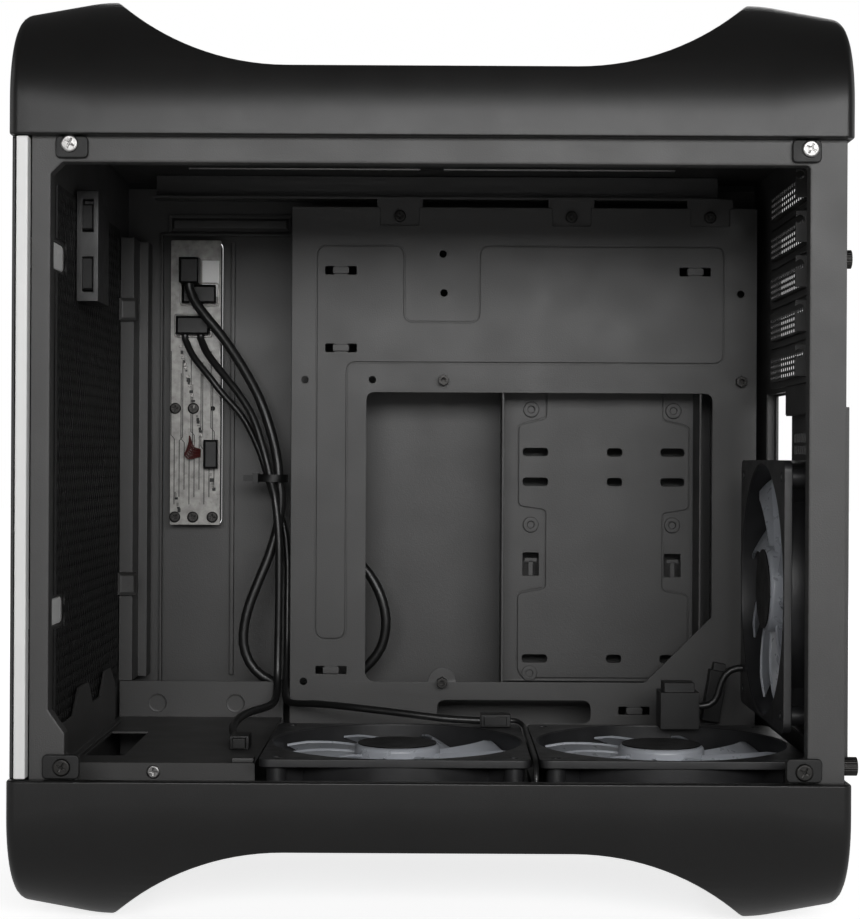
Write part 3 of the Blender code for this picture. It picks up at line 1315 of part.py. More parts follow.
def make_plugs():
    """Plugs on the ends of the leads: two steps, a body and a narrower nose."""
    floor_top = MID_Z - JOINT_RISE + 0.001 + SEAT
    fan_top = FLOOR_Z + SEAT + FAN_THICK + SEAT
    plugs = {
        "usb_plug": ((-0.0705, 0.0850, 0.1470), (-0.0581, 0.0950, 0.1660), (-0.0700, 0.0870, 0.1440)),
        "panel_plug": ((-0.0950, -0.0393, floor_top), (-0.0860, -0.0253, floor_top + 0.0065),
                       (-0.0935, -0.0420, floor_top + 0.0010)),
        "audio_plug": ((0.0234, 0.0120, fan_top), (0.0380, 0.0220, fan_top + 0.0060),
                       (0.0250, 0.0105, fan_top + 0.0010)),
        "rear_fan_plug": ((0.1110, 0.0060, fan_top), (0.1300, 0.0245, fan_top + 0.0180),
                          (0.1130, 0.0080, fan_top + 0.0010)),
    }
    noses = {
        "usb_plug": (-0.0590, 0.0930, 0.1480),
        "panel_plug": (-0.0875, -0.0380, floor_top + 0.0055),
        "audio_plug": (0.0360, 0.0130, fan_top + 0.0050),
        "rear_fan_plug": (0.1280, 0.0225, fan_top + 0.0225),
    }
    for name, (low, high, nose_low) in plugs.items():
        move = follow(low) - Vector(low)
        if name == "rear_fan_plug":
            move = rear_lead_shift(1.0)
        corners = [Vector(corner) + move for corner in (low, high, nose_low, noses[name])]
        body = box(name, corners[0], corners[1])
        finish(join(body, box(name + "_nose", corners[2], corners[3])), "black_plastic")


def build():
    make_handle("top_handle", 1, DECK_RISE)
    make_handle("bottom_handle", -1, FLOOR_DROP)
    make_front_panel()
    make_light_bar("light_bar_near", -1)
    make_light_bar("light_bar_far", 1)
    make_near_frame()
    make_far_frame()
    make_front_wall()
    make_front_mesh()
    make_rear_panel()
    make_deck()
    make_floor()
    make_tray()
    make_top_beam()
    make_drive_bracket()
    for index, rise in enumerate(slot_rises()):
        make_slot_cover(index, rise)
    make_front_post()
    make_lower_far_plate()
    make_front_platform()
    make_lower_front_bracket()
    make_far_cover()
    make_bezel()
    make_control_board()
    make_button("power_button", POWER_RISE, POWER_RADIUS, 16)
    make_button("reset_button", RESET_RISE, RESET_RADIUS, 10)
    for index, rise in enumerate(USB_RISES):
        make_usb_port(index, rise)
    for index, rise in enumerate(JACK_RISES):
        make_jack(index, rise)
    for label, (x, y) in floor_fan_centres().items():
        place = (x, y, FLOOR_Z + SEAT + FAN_THICK / 2)
        make_fan_frame(f"{label}_fan_frame", place, Matrix.Identity(4))
        make_rotor(f"{label}_fan_rotor", place, Matrix.Identity(4))
    rear_x = FRAME_REAR + STEP_OUT - SHEET - SEAT - FAN_THICK / 2
    rear_place = (rear_x, NEAR_SIDE + REAR_FAN_DEPTH, MID_Z + REAR_FAN_RISE)
    facing_in = Matrix.Rotation(math.radians(-90), 4, "Y")
    make_fan_frame("rear_fan_frame", rear_place, facing_in)
    make_rotor("rear_fan_rotor", rear_place, facing_in)
    for label, place in corner_screw_places().items():
        make_clip(f"{label}_clip", place)
        material = "zinc_screw" if place[1] > 0 else "black_screw"
        make_corner_screw(f"{label}_screw", place, material)
    places = thumbscrew_places()
    make_thumbscrew("upper_thumbscrew", places["upper_thumbscrew"], REAR_END + 0.0006)
    make_thumbscrew("lower_thumbscrew", places["lower_thumbscrew"], REAR_END + SCREW_REACH)
    make_fan_hub()
    make_cord("usb_cord", [follow(point) for point in USB_ROUTE], USB_CORD)
    make_cord("audio_cord", [follow(point) for point in AUDIO_ROUTE], AUDIO_CORD)
    make_cord("panel_cord", [follow(point) for point in PANEL_ROUTE], PANEL_CORD)
    make_cord("fan_cord", [follow(point) for point in FAN_ROUTE], FAN_CORD)
    last = len(REAR_FAN_ROUTE) - 1
    rear_route = [Vector(point) + rear_lead_shift(index / last)
                  for index, point in enumerate(REAR_FAN_ROUTE)]
    make_cord("rear_fan_cord", rear_route, REAR_FAN_CORD)
    make_cable_tie()
    make_plugs()


build()
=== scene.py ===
"""Small tower computer case with looped handles, its side cover off, on a pale studio floor.

Metres, +Z up. The open side faces -Y, the front faces -X and the rear faces +X.
"""

import math

import bmesh
import bpy
from mathutils import Matrix, Vector


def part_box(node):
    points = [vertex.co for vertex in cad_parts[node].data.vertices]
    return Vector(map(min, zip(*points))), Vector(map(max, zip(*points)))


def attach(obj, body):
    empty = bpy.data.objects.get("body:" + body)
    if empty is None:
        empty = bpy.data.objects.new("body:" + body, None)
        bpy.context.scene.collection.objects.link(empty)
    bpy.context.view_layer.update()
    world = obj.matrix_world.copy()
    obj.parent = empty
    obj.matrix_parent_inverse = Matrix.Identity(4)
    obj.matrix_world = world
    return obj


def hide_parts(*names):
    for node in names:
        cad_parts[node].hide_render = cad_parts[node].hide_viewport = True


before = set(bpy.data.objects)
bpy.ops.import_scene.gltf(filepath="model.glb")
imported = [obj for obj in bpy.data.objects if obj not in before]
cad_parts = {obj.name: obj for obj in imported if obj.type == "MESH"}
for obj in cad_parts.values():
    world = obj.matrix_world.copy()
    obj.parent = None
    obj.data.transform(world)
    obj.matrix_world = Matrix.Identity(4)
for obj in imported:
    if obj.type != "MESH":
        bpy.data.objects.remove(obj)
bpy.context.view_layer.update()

# Planes of the case
BODY_X = -0.00205
MID_Z = 0.204
HALF_LENGTH = 0.1795
HALF_WIDTH = 0.125
JOINT_RISE = 0.137
FRAME_FRONT = -0.17255
FRAME_REAR = 0.17505
NEAR_FACE = -0.1187
EAR_FACE = -0.1212
TRAY_LEFT = -0.07485
TRAY_RIGHT = 0.16795
BOARD_FACE = 0.1107
STRIP_SPAN = (-0.14305, -0.11605, 0.168, 0.322)
LUG_RISES = (0.0887, -0.0679)
LUG_HALF = 0.00585
WEAVE_PITCH = 0.0016

# Handles
SHELL_WALL = 0.006
BAR_RISE = 0.204
BAR_CORNER = 0.057
BEND_START = 0.1457
BEND_LENGTH = 0.0338
BEND_DROP = 0.0095
BEND_BLEND = 0.004

# Fans and slot covers
FAN_HALF = 0.06
FAN_HOLE = 0.0525
FAN_MOUTH = 0.0584
FAN_HALF_DEPTH = 0.0125
FLANGE_INSIDE = 0.0088
BLADE_ROOT = 0.0188
BLADE_TIP = 0.0570
GROOVE = (0.0003, -0.0001)
SLOT_PITCH = 0.02032
FIRST_SLOT_RISE = 0.1273

# View of the open side
LENS = 77.82
VIEW_HEIGHT = 919
VIEW_DISTANCE = 0.965
VIEW_ROLL = -0.0052

WHOLE = Matrix.Identity(4)
TO_X = Matrix(((0, 0, 1, 0), (1, 0, 0, 0), (0, 1, 0, 0), (0, 0, 0, 1)))
TO_Y = Matrix(((1, 0, 0, 0), (0, 0, -1, 0), (0, 1, 0, 0), (0, 0, 0, 1)))
STAND = {"X": TO_X, "Y": TO_Y, "Z": WHOLE}


def put_in_scene(name, data):
    thing = bpy.data.objects.new(name, data)
    bpy.context.scene.collection.objects.link(thing)
    return thing


def throw_away(*pieces):
    for piece in pieces:
        bpy.data.objects.remove(piece, do_unlink=True)


def make_camera():
    data = bpy.data.cameras.new("front_view")
    data.lens = LENS
    data.sensor_width = 36.0
    data.sensor_fit = "AUTO"
    data.shift_x = -0.5 / VIEW_HEIGHT
    data.clip_start = 0.01
    camera = put_in_scene("front_view", data)
    camera.location = (BODY_X, -VIEW_DISTANCE, MID_Z)
    camera.rotation_euler = (math.radians(90), VIEW_ROLL, 0)
    bpy.context.scene.camera = camera


# Finishes


def new_finish(name, colour, roughness, metallic=0.0, specular=0.5):
    material = bpy.data.materials.new(name)
    material.use_nodes = True
    shader = material.node_tree.nodes["Principled BSDF"]
    shader.inputs["Base Color"].default_value = (*colour, 1.0)
    shader.inputs["Roughness"].default_value = roughness
    shader.inputs["Metallic"].default_value = metallic
    shader.inputs["Specular IOR Level"].default_value = specular
    return material


def speckle(material, scale, detail=2.0):
    """Noise over the piece's own coordinates, scale in grains per metre."""
    nodes = material.node_tree.nodes
    links = material.node_tree.links
    place = nodes.new("ShaderNodeTexCoord")
    noise = nodes.new("ShaderNodeTexNoise")
    noise.inputs["Scale"].default_value = scale
    noise.inputs["Detail"].default_value = detail
    links.new(place.outputs["Object"], noise.inputs["Vector"])
    return noise.outputs["Fac"]


def spread(material, value, low, high):
    """Stretch the middle of a noise over a range."""
    return reach_node(material, value, 0.3, 0.7, low, high)


def vary_colour(material, scale, dark, pale):
    nodes = material.node_tree.nodes
    links = material.node_tree.links
    mix = nodes.new("ShaderNodeMix")
    mix.data_type = "RGBA"
    mix.inputs["A"].default_value = (*dark, 1.0)
    mix.inputs["B"].default_value = (*pale, 1.0)
    links.new(spread(material, speckle(material, scale, 3.0), 0.0, 1.0), mix.inputs["Factor"])
    shader = nodes["Principled BSDF"]
    links.new(mix.outputs["Result"], shader.inputs["Base Color"])
    return mix.outputs["Result"]


def vary_roughness(material, scale, low, high):
    shader = material.node_tree.nodes["Principled BSDF"]
    value = spread(material, speckle(material, scale, 2.0), low, high)
    material.node_tree.links.new(value, shader.inputs["Roughness"])


def add_grain(material, scale, distance, strength=1.0, detail=2.0):
    """Fine relief on the surface, its depth in metres."""
    nodes = material.node_tree.nodes
    links = material.node_tree.links
    shader = nodes["Principled BSDF"]
    bump = nodes.new("ShaderNodeBump")
    bump.inputs["Strength"].default_value = strength
    bump.inputs["Distance"].default_value = distance
    links.new(speckle(material, scale, detail), bump.inputs["Height"])
    if shader.inputs["Normal"].is_linked:
        links.new(shader.inputs["Normal"].links[0].from_socket, bump.inputs["Normal"])
    links.new(bump.outputs["Normal"], shader.inputs["Normal"])


def satin_shell():
    material = new_finish("satin_shell", (0.0085, 0.0083, 0.0082), 0.33, specular=0.34)
    vary_colour(material, 22, (0.0077, 0.0075, 0.0074), (0.0095, 0.0093, 0.0092))
    vary_roughness(material, 60, 0.315, 0.345)
    add_grain(material, 2600, 0.00004)
    return material


def powder_coat():
    material = new_finish("powder_coat", (0.042, 0.041, 0.040), 0.45)
    vary_colour(material, 30, (0.0395, 0.0387, 0.0381), (0.0450, 0.0442, 0.0435))
    vary_roughness(material, 45, 0.43, 0.49)
    add_grain(material, 1500, 0.00006)
    add_grain(material, 4200, 0.00002)
    return material


def sum_node(material, operation, first, second):
    """A Math node of two inputs, each a socket or a number."""
    node = material.node_tree.nodes.new("ShaderNodeMath")
    node.operation = operation
    for slot, value in zip(node.inputs, (first, second)):
        if isinstance(value, (int, float)):
            slot.default_value = value
        else:
            material.node_tree.links.new(value, slot)
    return node.outputs[0]


def reach_node(material, value, start, end, low, high):
    """Carry a value from one range to another."""
    node = material.node_tree.nodes.new("ShaderNodeMapRange")
    for name, number in (("From Min", start), ("From Max", end), ("To Min", low), ("To Max", high)):
        node.inputs[name].default_value = number
    material.node_tree.links.new(value, node.inputs["Value"])
    return node.outputs["Result"]


def front_weave():
    """Black front skin with a fine regular dot pattern."""
    material = new_finish("front_weave", (0.012, 0.012, 0.012), 0.5)
    nodes = material.node_tree.nodes
    links = material.node_tree.links
    place = nodes.new("ShaderNodeTexCoord")
    split = nodes.new("ShaderNodeSeparateXYZ")
    links.new(place.outputs["Object"], split.inputs["Vector"])
    waves = []
    for side in ("Y", "Z"):
        wave = nodes.new("ShaderNodeMath")
        wave.operation = "SINE"
        turns = sum_node(material, "MULTIPLY", split.outputs[side], 2 * math.pi / WEAVE_PITCH)
        links.new(turns, wave.inputs[0])
        waves.append(wave.outputs[0])
    product = sum_node(material, "MULTIPLY", *waves)
    bump = nodes.new("ShaderNodeBump")
    bump.inputs["Distance"].default_value = 0.0002
    links.new(product, bump.inputs["Height"])
    mix = nodes.new("ShaderNodeMix")
    mix.data_type = "RGBA"
    mix.inputs["A"].default_value = (0.005, 0.005, 0.005, 1.0)
    mix.inputs["B"].default_value = (0.022, 0.022, 0.022, 1.0)
    links.new(reach_node(material, product, -0.6, 0.2, 0.0, 1.0), mix.inputs["Factor"])
    shader = nodes["Principled BSDF"]
    links.new(mix.outputs["Result"], shader.inputs["Base Color"])
    links.new(bump.outputs["Normal"], shader.inputs["Normal"])
    return material


def frosted_white():
    material = new_finish("frosted_white", (0.84, 0.84, 0.83), 0.35)
    vary_colour(material, 40, (0.83, 0.83, 0.82), (0.86, 0.86, 0.85))
    vary_roughness(material, 300, 0.32, 0.42)
    add_grain(material, 3000, 0.00002)
    return material


def moulded_black(name, colour, roughness, specular=0.5):
    material = new_finish(name, colour, roughness, specular=specular)
    vary_colour(material, 90, [0.85 * part for part in colour], [1.2 * part for part in colour])
    vary_roughness(material, 120, roughness - 0.04, roughness + 0.05)
    add_grain(material, 2200, 0.00005)
    return material


def smoky_blade(name, colour):
    material = new_finish(name, colour, 0.30)
    vary_colour(material, 60, [0.92 * part for part in colour], [1.08 * part for part in colour])
    vary_roughness(material, 200, 0.26, 0.36)
    shader = material.node_tree.nodes["Principled BSDF"]
    shader.inputs["Transmission Weight"].default_value = 0.2
    return material


def bare_metal(name, colour, roughness):
    material = new_finish(name, colour, roughness, metallic=1.0)
    vary_colour(material, 400, [0.85 * part for part in colour], [1.1 * part for part in colour])
    vary_roughness(material, 900, roughness - 0.06, roughness + 0.08)
    add_grain(material, 2500, 0.00003)
    return material


def board_lacquer():
    material = new_finish("board_lacquer", (0.20, 0.197, 0.188), 0.32)
    vary_colour(material, 260, (0.24, 0.233, 0.22), (0.42, 0.41, 0.39))
    vary_roughness(material, 500, 0.25, 0.42)
    add_grain(material, 1400, 0.00004)
    return material


def make_finishes():
    return {
        "soft_black_shell": satin_shell(),
        "painted_steel": powder_coat(),
        "front_skin": front_weave(),
        "light_bar": frosted_white(),
        "fan_frame_plastic": moulded_black("fan_frame_black", (0.016, 0.016, 0.017), 0.38),
        "fan_blade": smoky_blade("smoky_blade", (0.45, 0.47, 0.51)),
        "black_plastic": moulded_black("fitting_black", (0.014, 0.014, 0.014), 0.42),
        "plug_black": moulded_black("plug_black", (0.006, 0.006, 0.006), 0.42, 0.32),
        # Darker than the other black parts: partly the pieces' own black, partly painted shade for
        # the air mesh and the socket wells
        "black_and_painted_shade": moulded_black("black_and_painted_shade", (0.007, 0.007, 0.007), 0.50, 0.30),
        "ear_black": moulded_black("ear_black", (0.012, 0.012, 0.012), 0.46, 0.28),
        "dull_metal": bare_metal("dull_metal", (0.16, 0.157, 0.15), 0.34),
        "zinc_screw": bare_metal("bright_zinc", (0.30, 0.295, 0.29), 0.36),
        "black_screw": bare_metal("black_oxide", (0.035, 0.034, 0.033), 0.40),
        "circuit_board": board_lacquer(),
        "port_metal": bare_metal("port_shell", (0.55, 0.55, 0.56), 0.30),
        "cord_sleeve": moulded_black("lead_jacket", (0.010, 0.010, 0.010), 0.34),
        "wire_red": moulded_black("wire_red", (0.060, 0.010, 0.009), 0.40),
    }


bpy.context.scene.view_settings.view_transform = "Standard"
make_camera()
FINISHES = make_finishes()


def dress(piece, slot, body="case", replaces=(), finish=None):
    """Give a piece its finish, its body and the nodes that it stands for."""
    piece.data.materials.clear()
    piece.data.materials.append(FINISHES[finish or slot])
    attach(piece, body)
    if replaces:
        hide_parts(*replaces)
    return piece


# Leads


def smooth_route(points, spacing):
    """Read evenly spaced points from a smooth curve through the route's own points."""
    knots = [Vector(point) for point in points[1:-1]]
    knots = [2 * knots[0] - knots[1]] + knots + [2 * knots[-1] - knots[-2]]
    fine = []
    for index in range(1, len(knots) - 2):
        before, start, end, after = knots[index - 1:index + 3]
        for step in range(12):
            t = step / 12
            fine.append(0.5 * (2 * start + (end - before) * t
                               + (2 * before - 5 * start + 4 * end - after) * t ** 2
                               + (3 * start - before - 3 * end + after) * t ** 3))
    fine.append(knots[-2])
    length = sum((second - first).length for first, second in zip(fine, fine[1:]))
    count = max(2, round(length / spacing))
    result = [fine[0]]
    travelled = 0.0
    for first, second in zip(fine, fine[1:]):
        piece = (second - first).length
        while len(result) < count and travelled + piece >= length * len(result) / count:
            share = (length * len(result) / count - travelled) / piece
            result.append(first.lerp(second, share))
        travelled += piece
    return [Vector(points[0])] + result + [fine[-1], Vector(points[-1])]


def run_lead(node, route, diameter):
    points = smooth_route(route, diameter)
    curve = bpy.data.curves.new(node + "_line", "CURVE")
    curve.dimensions = "3D"
    curve.bevel_depth = diameter / 2
    curve.bevel_resolution = 6
    curve.use_fill_caps = True
    spline = curve.splines.new("POLY")
    spline.points.add(len(points) - 1)
    for point, place in zip(spline.points, points):
        point.co = (*place, 1)
    spline.use_smooth = True
    lead = put_in_scene(node + "_jacket", curve)
    dress(lead, "cord_sleeve", replaces=[node])
    return lead


USB_ROUTE = [
    (-0.1323, 0.1032, 0.2979), (-0.1323, 0.1032, 0.2955), (-0.1290, 0.1024, 0.2880),
    (-0.1225, 0.1012, 0.2795), (-0.1142, 0.1000, 0.2695), (-0.1025, 0.0970, 0.2524),
    (-0.0931, 0.0940, 0.2352), (-0.0870, 0.0920, 0.2182), (-0.0836, 0.0900, 0.2044),
    (-0.0824, 0.0890, 0.1938), (-0.0813, 0.0890, 0.1848), (-0.0823, 0.0890, 0.1715),
    (-0.0869, 0.0880, 0.1540), (-0.0936, 0.0870, 0.1371), (-0.0987, 0.0865, 0.1228),
    (-0.1007, 0.0865, 0.1080), (-0.0975, 0.0870, 0.0964), (-0.0907, 0.0875, 0.0889),
    (-0.0813, 0.0890, 0.0845), (-0.0707, 0.0900, 0.0823), (-0.0575, 0.0900, 0.0834),
    (-0.0442, 0.0900, 0.0877), (-0.0341, 0.0890, 0.0953), (-0.0272, 0.0880, 0.1055),
    (-0.0252, 0.0870, 0.1189), (-0.0284, 0.0870, 0.1326), (-0.0359, 0.0880, 0.1453),
    (-0.0462, 0.0892, 0.1540), (-0.0555, 0.0900, 0.1567), (-0.0578, 0.0900, 0.1567)]

AUDIO_ROUTE = [
    (-0.1350, 0.1082, 0.2707), (-0.1350, 0.1082, 0.2685), (-0.1300, 0.1035, 0.2590),
    (-0.1210, 0.1000, 0.2480), (-0.1139, 0.0990, 0.2390), (-0.1023, 0.0970, 0.2256),
    (-0.0939, 0.0940, 0.2096), (-0.0884, 0.0918, 0.1938), (-0.0850, 0.0945, 0.1820),
    (-0.0800, 0.0945, 0.1680), (-0.0778, 0.0920, 0.1500), (-0.0775, 0.0890, 0.1300),
    (-0.0773, 0.0855, 0.1080), (-0.0772, 0.0795, 0.0940), (-0.0771, 0.0720, 0.0840),
    (-0.0762, 0.0655, 0.0795), (-0.0719, 0.0580, 0.0782), (-0.0576, 0.0450, 0.0794),
    (-0.0418, 0.0310, 0.0797), (-0.0165, 0.0220, 0.0780), (0.0048, 0.0180, 0.0760),
    (0.0205, 0.0170, 0.0752), (0.0231, 0.0170, 0.0752)]

PANEL_ROUTE = [
    (-0.1265, 0.1083, 0.2707), (-0.1265, 0.1083, 0.2685), (-0.1220, 0.1020, 0.2600),
    (-0.1130, 0.0960, 0.2490), (-0.1040, 0.0925, 0.2380), (-0.0965, 0.0895, 0.2260),
    (-0.0915, 0.0870, 0.2120), (-0.0883, 0.0853, 0.2010), (-0.0863, 0.0843, 0.1922),
    (-0.0838, 0.0818, 0.1820), (-0.0817, 0.0805, 0.1610), (-0.0815, 0.0805, 0.1300),
    (-0.0818, 0.0800, 0.1030), (-0.0818, 0.0772, 0.0880), (-0.0818, 0.0700, 0.0805),
    (-0.0830, 0.0600, 0.0776), (-0.0865, 0.0470, 0.0770), (-0.0920, 0.0330, 0.0767),
    (-0.0960, 0.0180, 0.0756), (-0.0976, 0.0030, 0.0732), (-0.0950, -0.0130, 0.0714),
    (-0.0908, -0.0225, 0.0712), (-0.0905, -0.0250, 0.0712)]

FAN_ROUTE = [
    (0.0383, 0.0170, 0.0752), (0.0403, 0.0170, 0.0752), (0.0430, 0.0150, 0.0744),
    (0.0446, 0.0110, 0.0730), (0.0449, 0.0000, 0.0724), (0.0449, -0.0200, 0.0723),
    (0.0449, -0.0500, 0.0722), (0.0449, -0.0800, 0.0720), (0.0449, -0.0920, 0.0709),
    (0.0449, -0.0966, 0.0670), (0.0449, -0.0978, 0.0600), (0.0449, -0.0978, 0.0500),
    (0.0449, -0.0978, 0.0474)]

REAR_FAN_ROUTE = [
    (0.1521, 0.0140, 0.1020), (0.1499, 0.0140, 0.1020), (0.1450, 0.0143, 0.1000),
    (0.1418, 0.0148, 0.0945), (0.1400, 0.0153, 0.0880), (0.1372, 0.0155, 0.0842),
    (0.1325, 0.0155, 0.0830), (0.1303, 0.0155, 0.0830)]

run_lead("usb_cord", USB_ROUTE, 0.0052)
run_lead("audio_cord", AUDIO_ROUTE, 0.0036)
run_lead("panel_cord", PANEL_ROUTE, 0.0040)
run_lead("fan_cord", FAN_ROUTE, 0.0024)
run_lead("rear_fan_cord", REAR_FAN_ROUTE, 0.0036)


# Ways of working


def put_down():
    """Leave edit mode and let go of everything."""
    if bpy.context.mode != "OBJECT":
        bpy.ops.object.mode_set(mode="OBJECT")
    bpy.ops.object.select_all(action="DESELECT")


def take(*pieces):
    put_down()
    for piece in pieces:
        piece.select_set(True)
    bpy.context.view_layer.objects.active = pieces[0]


def placed(name):
    """Name the new piece and move its place into its mesh."""
    piece = bpy.context.object
    piece.name = name
    piece.data.name = name
    bpy.ops.object.transform_apply(location=True, rotation=True, scale=True)
    return piece


def block(name, low, high):
    put_down()
    low = Vector(low)
    high = Vector(high)
    bpy.ops.mesh.primitive_cube_add(size=1, location=(low + high) / 2, scale=high - low)
    return placed(name)


LEAN = {"X": (0, math.pi / 2, 0), "Y": (math.pi / 2, 0, 0), "Z": (0, 0, 0)}


def bar(name, centre, radius, length, axis="Z", sides=40):
    put_down()
    bpy.ops.mesh.primitive_cylinder_add(vertices=sides, radius=radius, depth=length,
                                        location=centre, rotation=LEAN[axis])
    return placed(name)


def pick(piece, kind, test):
    """Open a piece for editing with the parts selected whose place and direction pass a test."""
    put_down()
    mesh = piece.data
    for group in (mesh.vertices, mesh.edges, mesh.polygons):
        group.foreach_set("select", [False] * len(group))
    if kind == "FACE":
        for face in mesh.polygons:
            face.select = test(face.center, face.normal)
    elif kind == "EDGE":
        for edge in mesh.edges:
            start, end = (mesh.vertices[index].co for index in edge.vertices)
            edge.select = test((start + end) / 2, (end - start).normalized())
    else:
        for vertex in mesh.vertices:
            vertex.select = test(vertex.co, vertex.normal)
    take(piece)
    bpy.context.tool_settings.mesh_select_mode = (kind == "VERT", kind == "EDGE", kind == "FACE")
    bpy.ops.object.mode_set(mode="EDIT")


def pick_all(piece, kind="VERT"):
    pick(piece, kind, lambda place, facing: True)


def press(piece, side, *steps):
    """Inset the faces that look to one side, and move them along it, once for each step."""
    side = Vector(side)
    pick(piece, "FACE", lambda place, facing: facing.dot(side) > 0.9)
    for border, rise in steps:
        bpy.ops.mesh.inset(thickness=border)
        if rise:
            bpy.ops.transform.translate(value=side * rise)
    put_down()
    return piece


def tidy_mesh(piece, distance=0.000001):
    pick_all(piece)
    bpy.ops.mesh.remove_doubles(threshold=distance)
    bpy.ops.mesh.normals_make_consistent(inside=False)
    put_down()
    return piece


def refine(piece, kind, **settings):
    """Add a modifier with these settings and apply it."""
    take(piece)
    modifier = piece.modifiers.new(kind.lower(), kind)
    for setting, value in settings.items():
        setattr(modifier, setting, value)
    bpy.ops.object.modifier_apply(modifier=modifier.name)
    return piece


def ease(piece, width, segments=2, angle=40):
    """Round the piece's sharp edges."""
    return refine(piece, "BEVEL", width=width, segments=segments, limit_method="ANGLE",
                  angle_limit=math.radians(angle), use_clamp_overlap=False)


def carve(piece, *tools):
    for tool in tools:
        refine(piece, "BOOLEAN", operation="DIFFERENCE", solver="EXACT", object=tool)
        throw_away(tool)
    return piece


def gather(*pieces):
    take(*pieces)
    bpy.ops.object.join()
    return pieces[0]


def shade(piece, angle=35):
    take(piece)
    bpy.ops.object.shade_smooth_by_angle(angle=math.radians(angle))
    return refine(piece, "WEIGHTED_NORMAL", keep_sharp=True)


def copy_of(piece, name, matrix=WHOLE):
    """A second piece with its own mesh, moved by a matrix."""
    take(piece)
    bpy.ops.object.duplicate()
    twin = bpy.context.object
    twin.matrix_world = matrix @ piece.matrix_world
    return placed(name)


def arc(centre, radius, start, end, steps):
    points = []
    for step in range(steps + 1):
        angle = math.radians(start + (end - start) * step / steps)
        points.append((centre[0] + radius * math.cos(angle), centre[1] + radius * math.sin(angle)))
    return points


def circle(centre, radius, sides=32):
    return arc(centre, radius, 0, 360 - 360 / sides, sides - 1)


def oblong(u_low, u_high, v_low, v_high):
    return [(u_low, v_low), (u_high, v_low), (u_high, v_high), (u_low, v_high)]


def rounded(outline, radius, steps=5):
    """Round every corner of an outline, by less where its sides are short."""
    result = []
    count = len(outline)
    for index, corner in enumerate(outline):
        here = Vector(corner)
        back = Vector(outline[index - 1]) - here
        onward = Vector(outline[(index + 1) % count]) - here
        turn = back.angle(onward)
        if turn > 3.05:
            result.append(tuple(here))
            continue
        reach = min(radius / math.tan(turn / 2), 0.46 * back.length, 0.46 * onward.length)
        start = here + back.normalized() * reach
        end = here + onward.normalized() * reach
        for step in range(steps + 1):
            share = step / steps
            result.append(tuple(start * (1 - share) ** 2 + 2 * here * share * (1 - share)
                                + end * share ** 2))
    return result


def shrink(outline, distance):
    """Move an anticlockwise outline inwards, or outwards for a distance below nought."""
    result = []
    count = len(outline)
    for index, point in enumerate(outline):
        before = Vector(outline[index - 1])
        here = Vector(point)
        after = Vector(outline[(index + 1) % count])
        into = (here - before).normalized()
        out = (after - here).normalized()
        normal = Vector((-into.y - out.y, into.x + out.x)).normalized()
        reach = distance / max(0.2, normal.dot(Vector((-into.y, into.x))))
        result.append(tuple(here + normal * reach))
    return result


def cut_sheet(name, outlines, axis, low, high, edge=0.0003, rounds=1):
    """Cut a sheet to its first outline, with the others as holes, and ease its edges."""
    curve = bpy.data.curves.new(name, "CURVE")
    curve.dimensions = "2D"
    curve.fill_mode = "BOTH"
    curve.extrude = (high - low) / 2 - edge
    curve.bevel_depth = edge
    curve.bevel_resolution = rounds
    curve.offset = -edge
    for outline in outlines:
        spline = curve.splines.new("POLY")
        spline.points.add(len(outline) - 1)
        for point, (u, v) in zip(spline.points, outline):
            point.co = (u, v, 0, 1)
        spline.use_cyclic_u = True
    sheet = put_in_scene(name, curve)
    lift = {"X": Vector((1, 0, 0)), "Y": Vector((0, 1, 0)), "Z": Vector((0, 0, 1))}[axis]
    sheet.matrix_world = Matrix.Translation(lift * (low + high) / 2) @ STAND[axis]
    take(sheet)
    bpy.ops.object.convert(target="MESH")
    sheet = placed(name)
    return tidy_mesh(sheet)


# Looped handles


def bar_shape(x):
    """Rise and corner radius of a handle's end bar, at a distance from the middle of the case."""
    past = abs(x) - BEND_START
    slope = BEND_DROP / BEND_LENGTH
    if past < -BEND_BLEND:
        drop = 0.0
    elif past < BEND_BLEND:
        drop = slope * (past + BEND_BLEND) ** 2 / (4 * BEND_BLEND)
    else:
        drop = slope * past
    return BAR_RISE - drop, BAR_CORNER - 0.015 * max(0.0, past) / BEND_LENGTH


def arch_ring(x, wall, base):
    """One upright section of a handle: a plane with its two upper corners rounded."""
    rise, corner = bar_shape(x)
    rise -= wall
    put_down()
    bpy.ops.mesh.primitive_plane_add(
        size=1, location=(BODY_X + x, 0, MID_Z + (rise + base) / 2),
        rotation=(0, math.pi / 2, 0))
    bpy.context.object.scale = (rise - base, 2 * (HALF_WIDTH - wall), 1)
    ring = placed("arch_ring")
    pick(ring, "VERT", lambda place, facing: place.z > MID_Z + base + 0.01)
    bpy.ops.mesh.bevel(offset=corner - wall, segments=16, affect="VERTICES")
    put_down()
    return ring


def bridge_rings(name, stations, wall, base):
    """Bridge a row of arched sections into one closed piece."""
    piece = gather(*[arch_ring(x, wall, base) for x in stations])
    piece.name = name
    pick_all(piece, "FACE")
    bpy.ops.mesh.delete(type="ONLY_FACE")
    for first, second in zip(stations, stations[1:]):
        near = (BODY_X + first, BODY_X + second)
        pick(piece, "EDGE", lambda place, along: (abs(along.x) < 0.5
                                                  and min(abs(place.x - near[0]),
                                                          abs(place.x - near[1])) < 0.00001))
        bpy.ops.mesh.bridge_edge_loops()
    pick_all(piece)
    bpy.ops.mesh.fill_holes(sides=0)
    return tidy_mesh(piece)


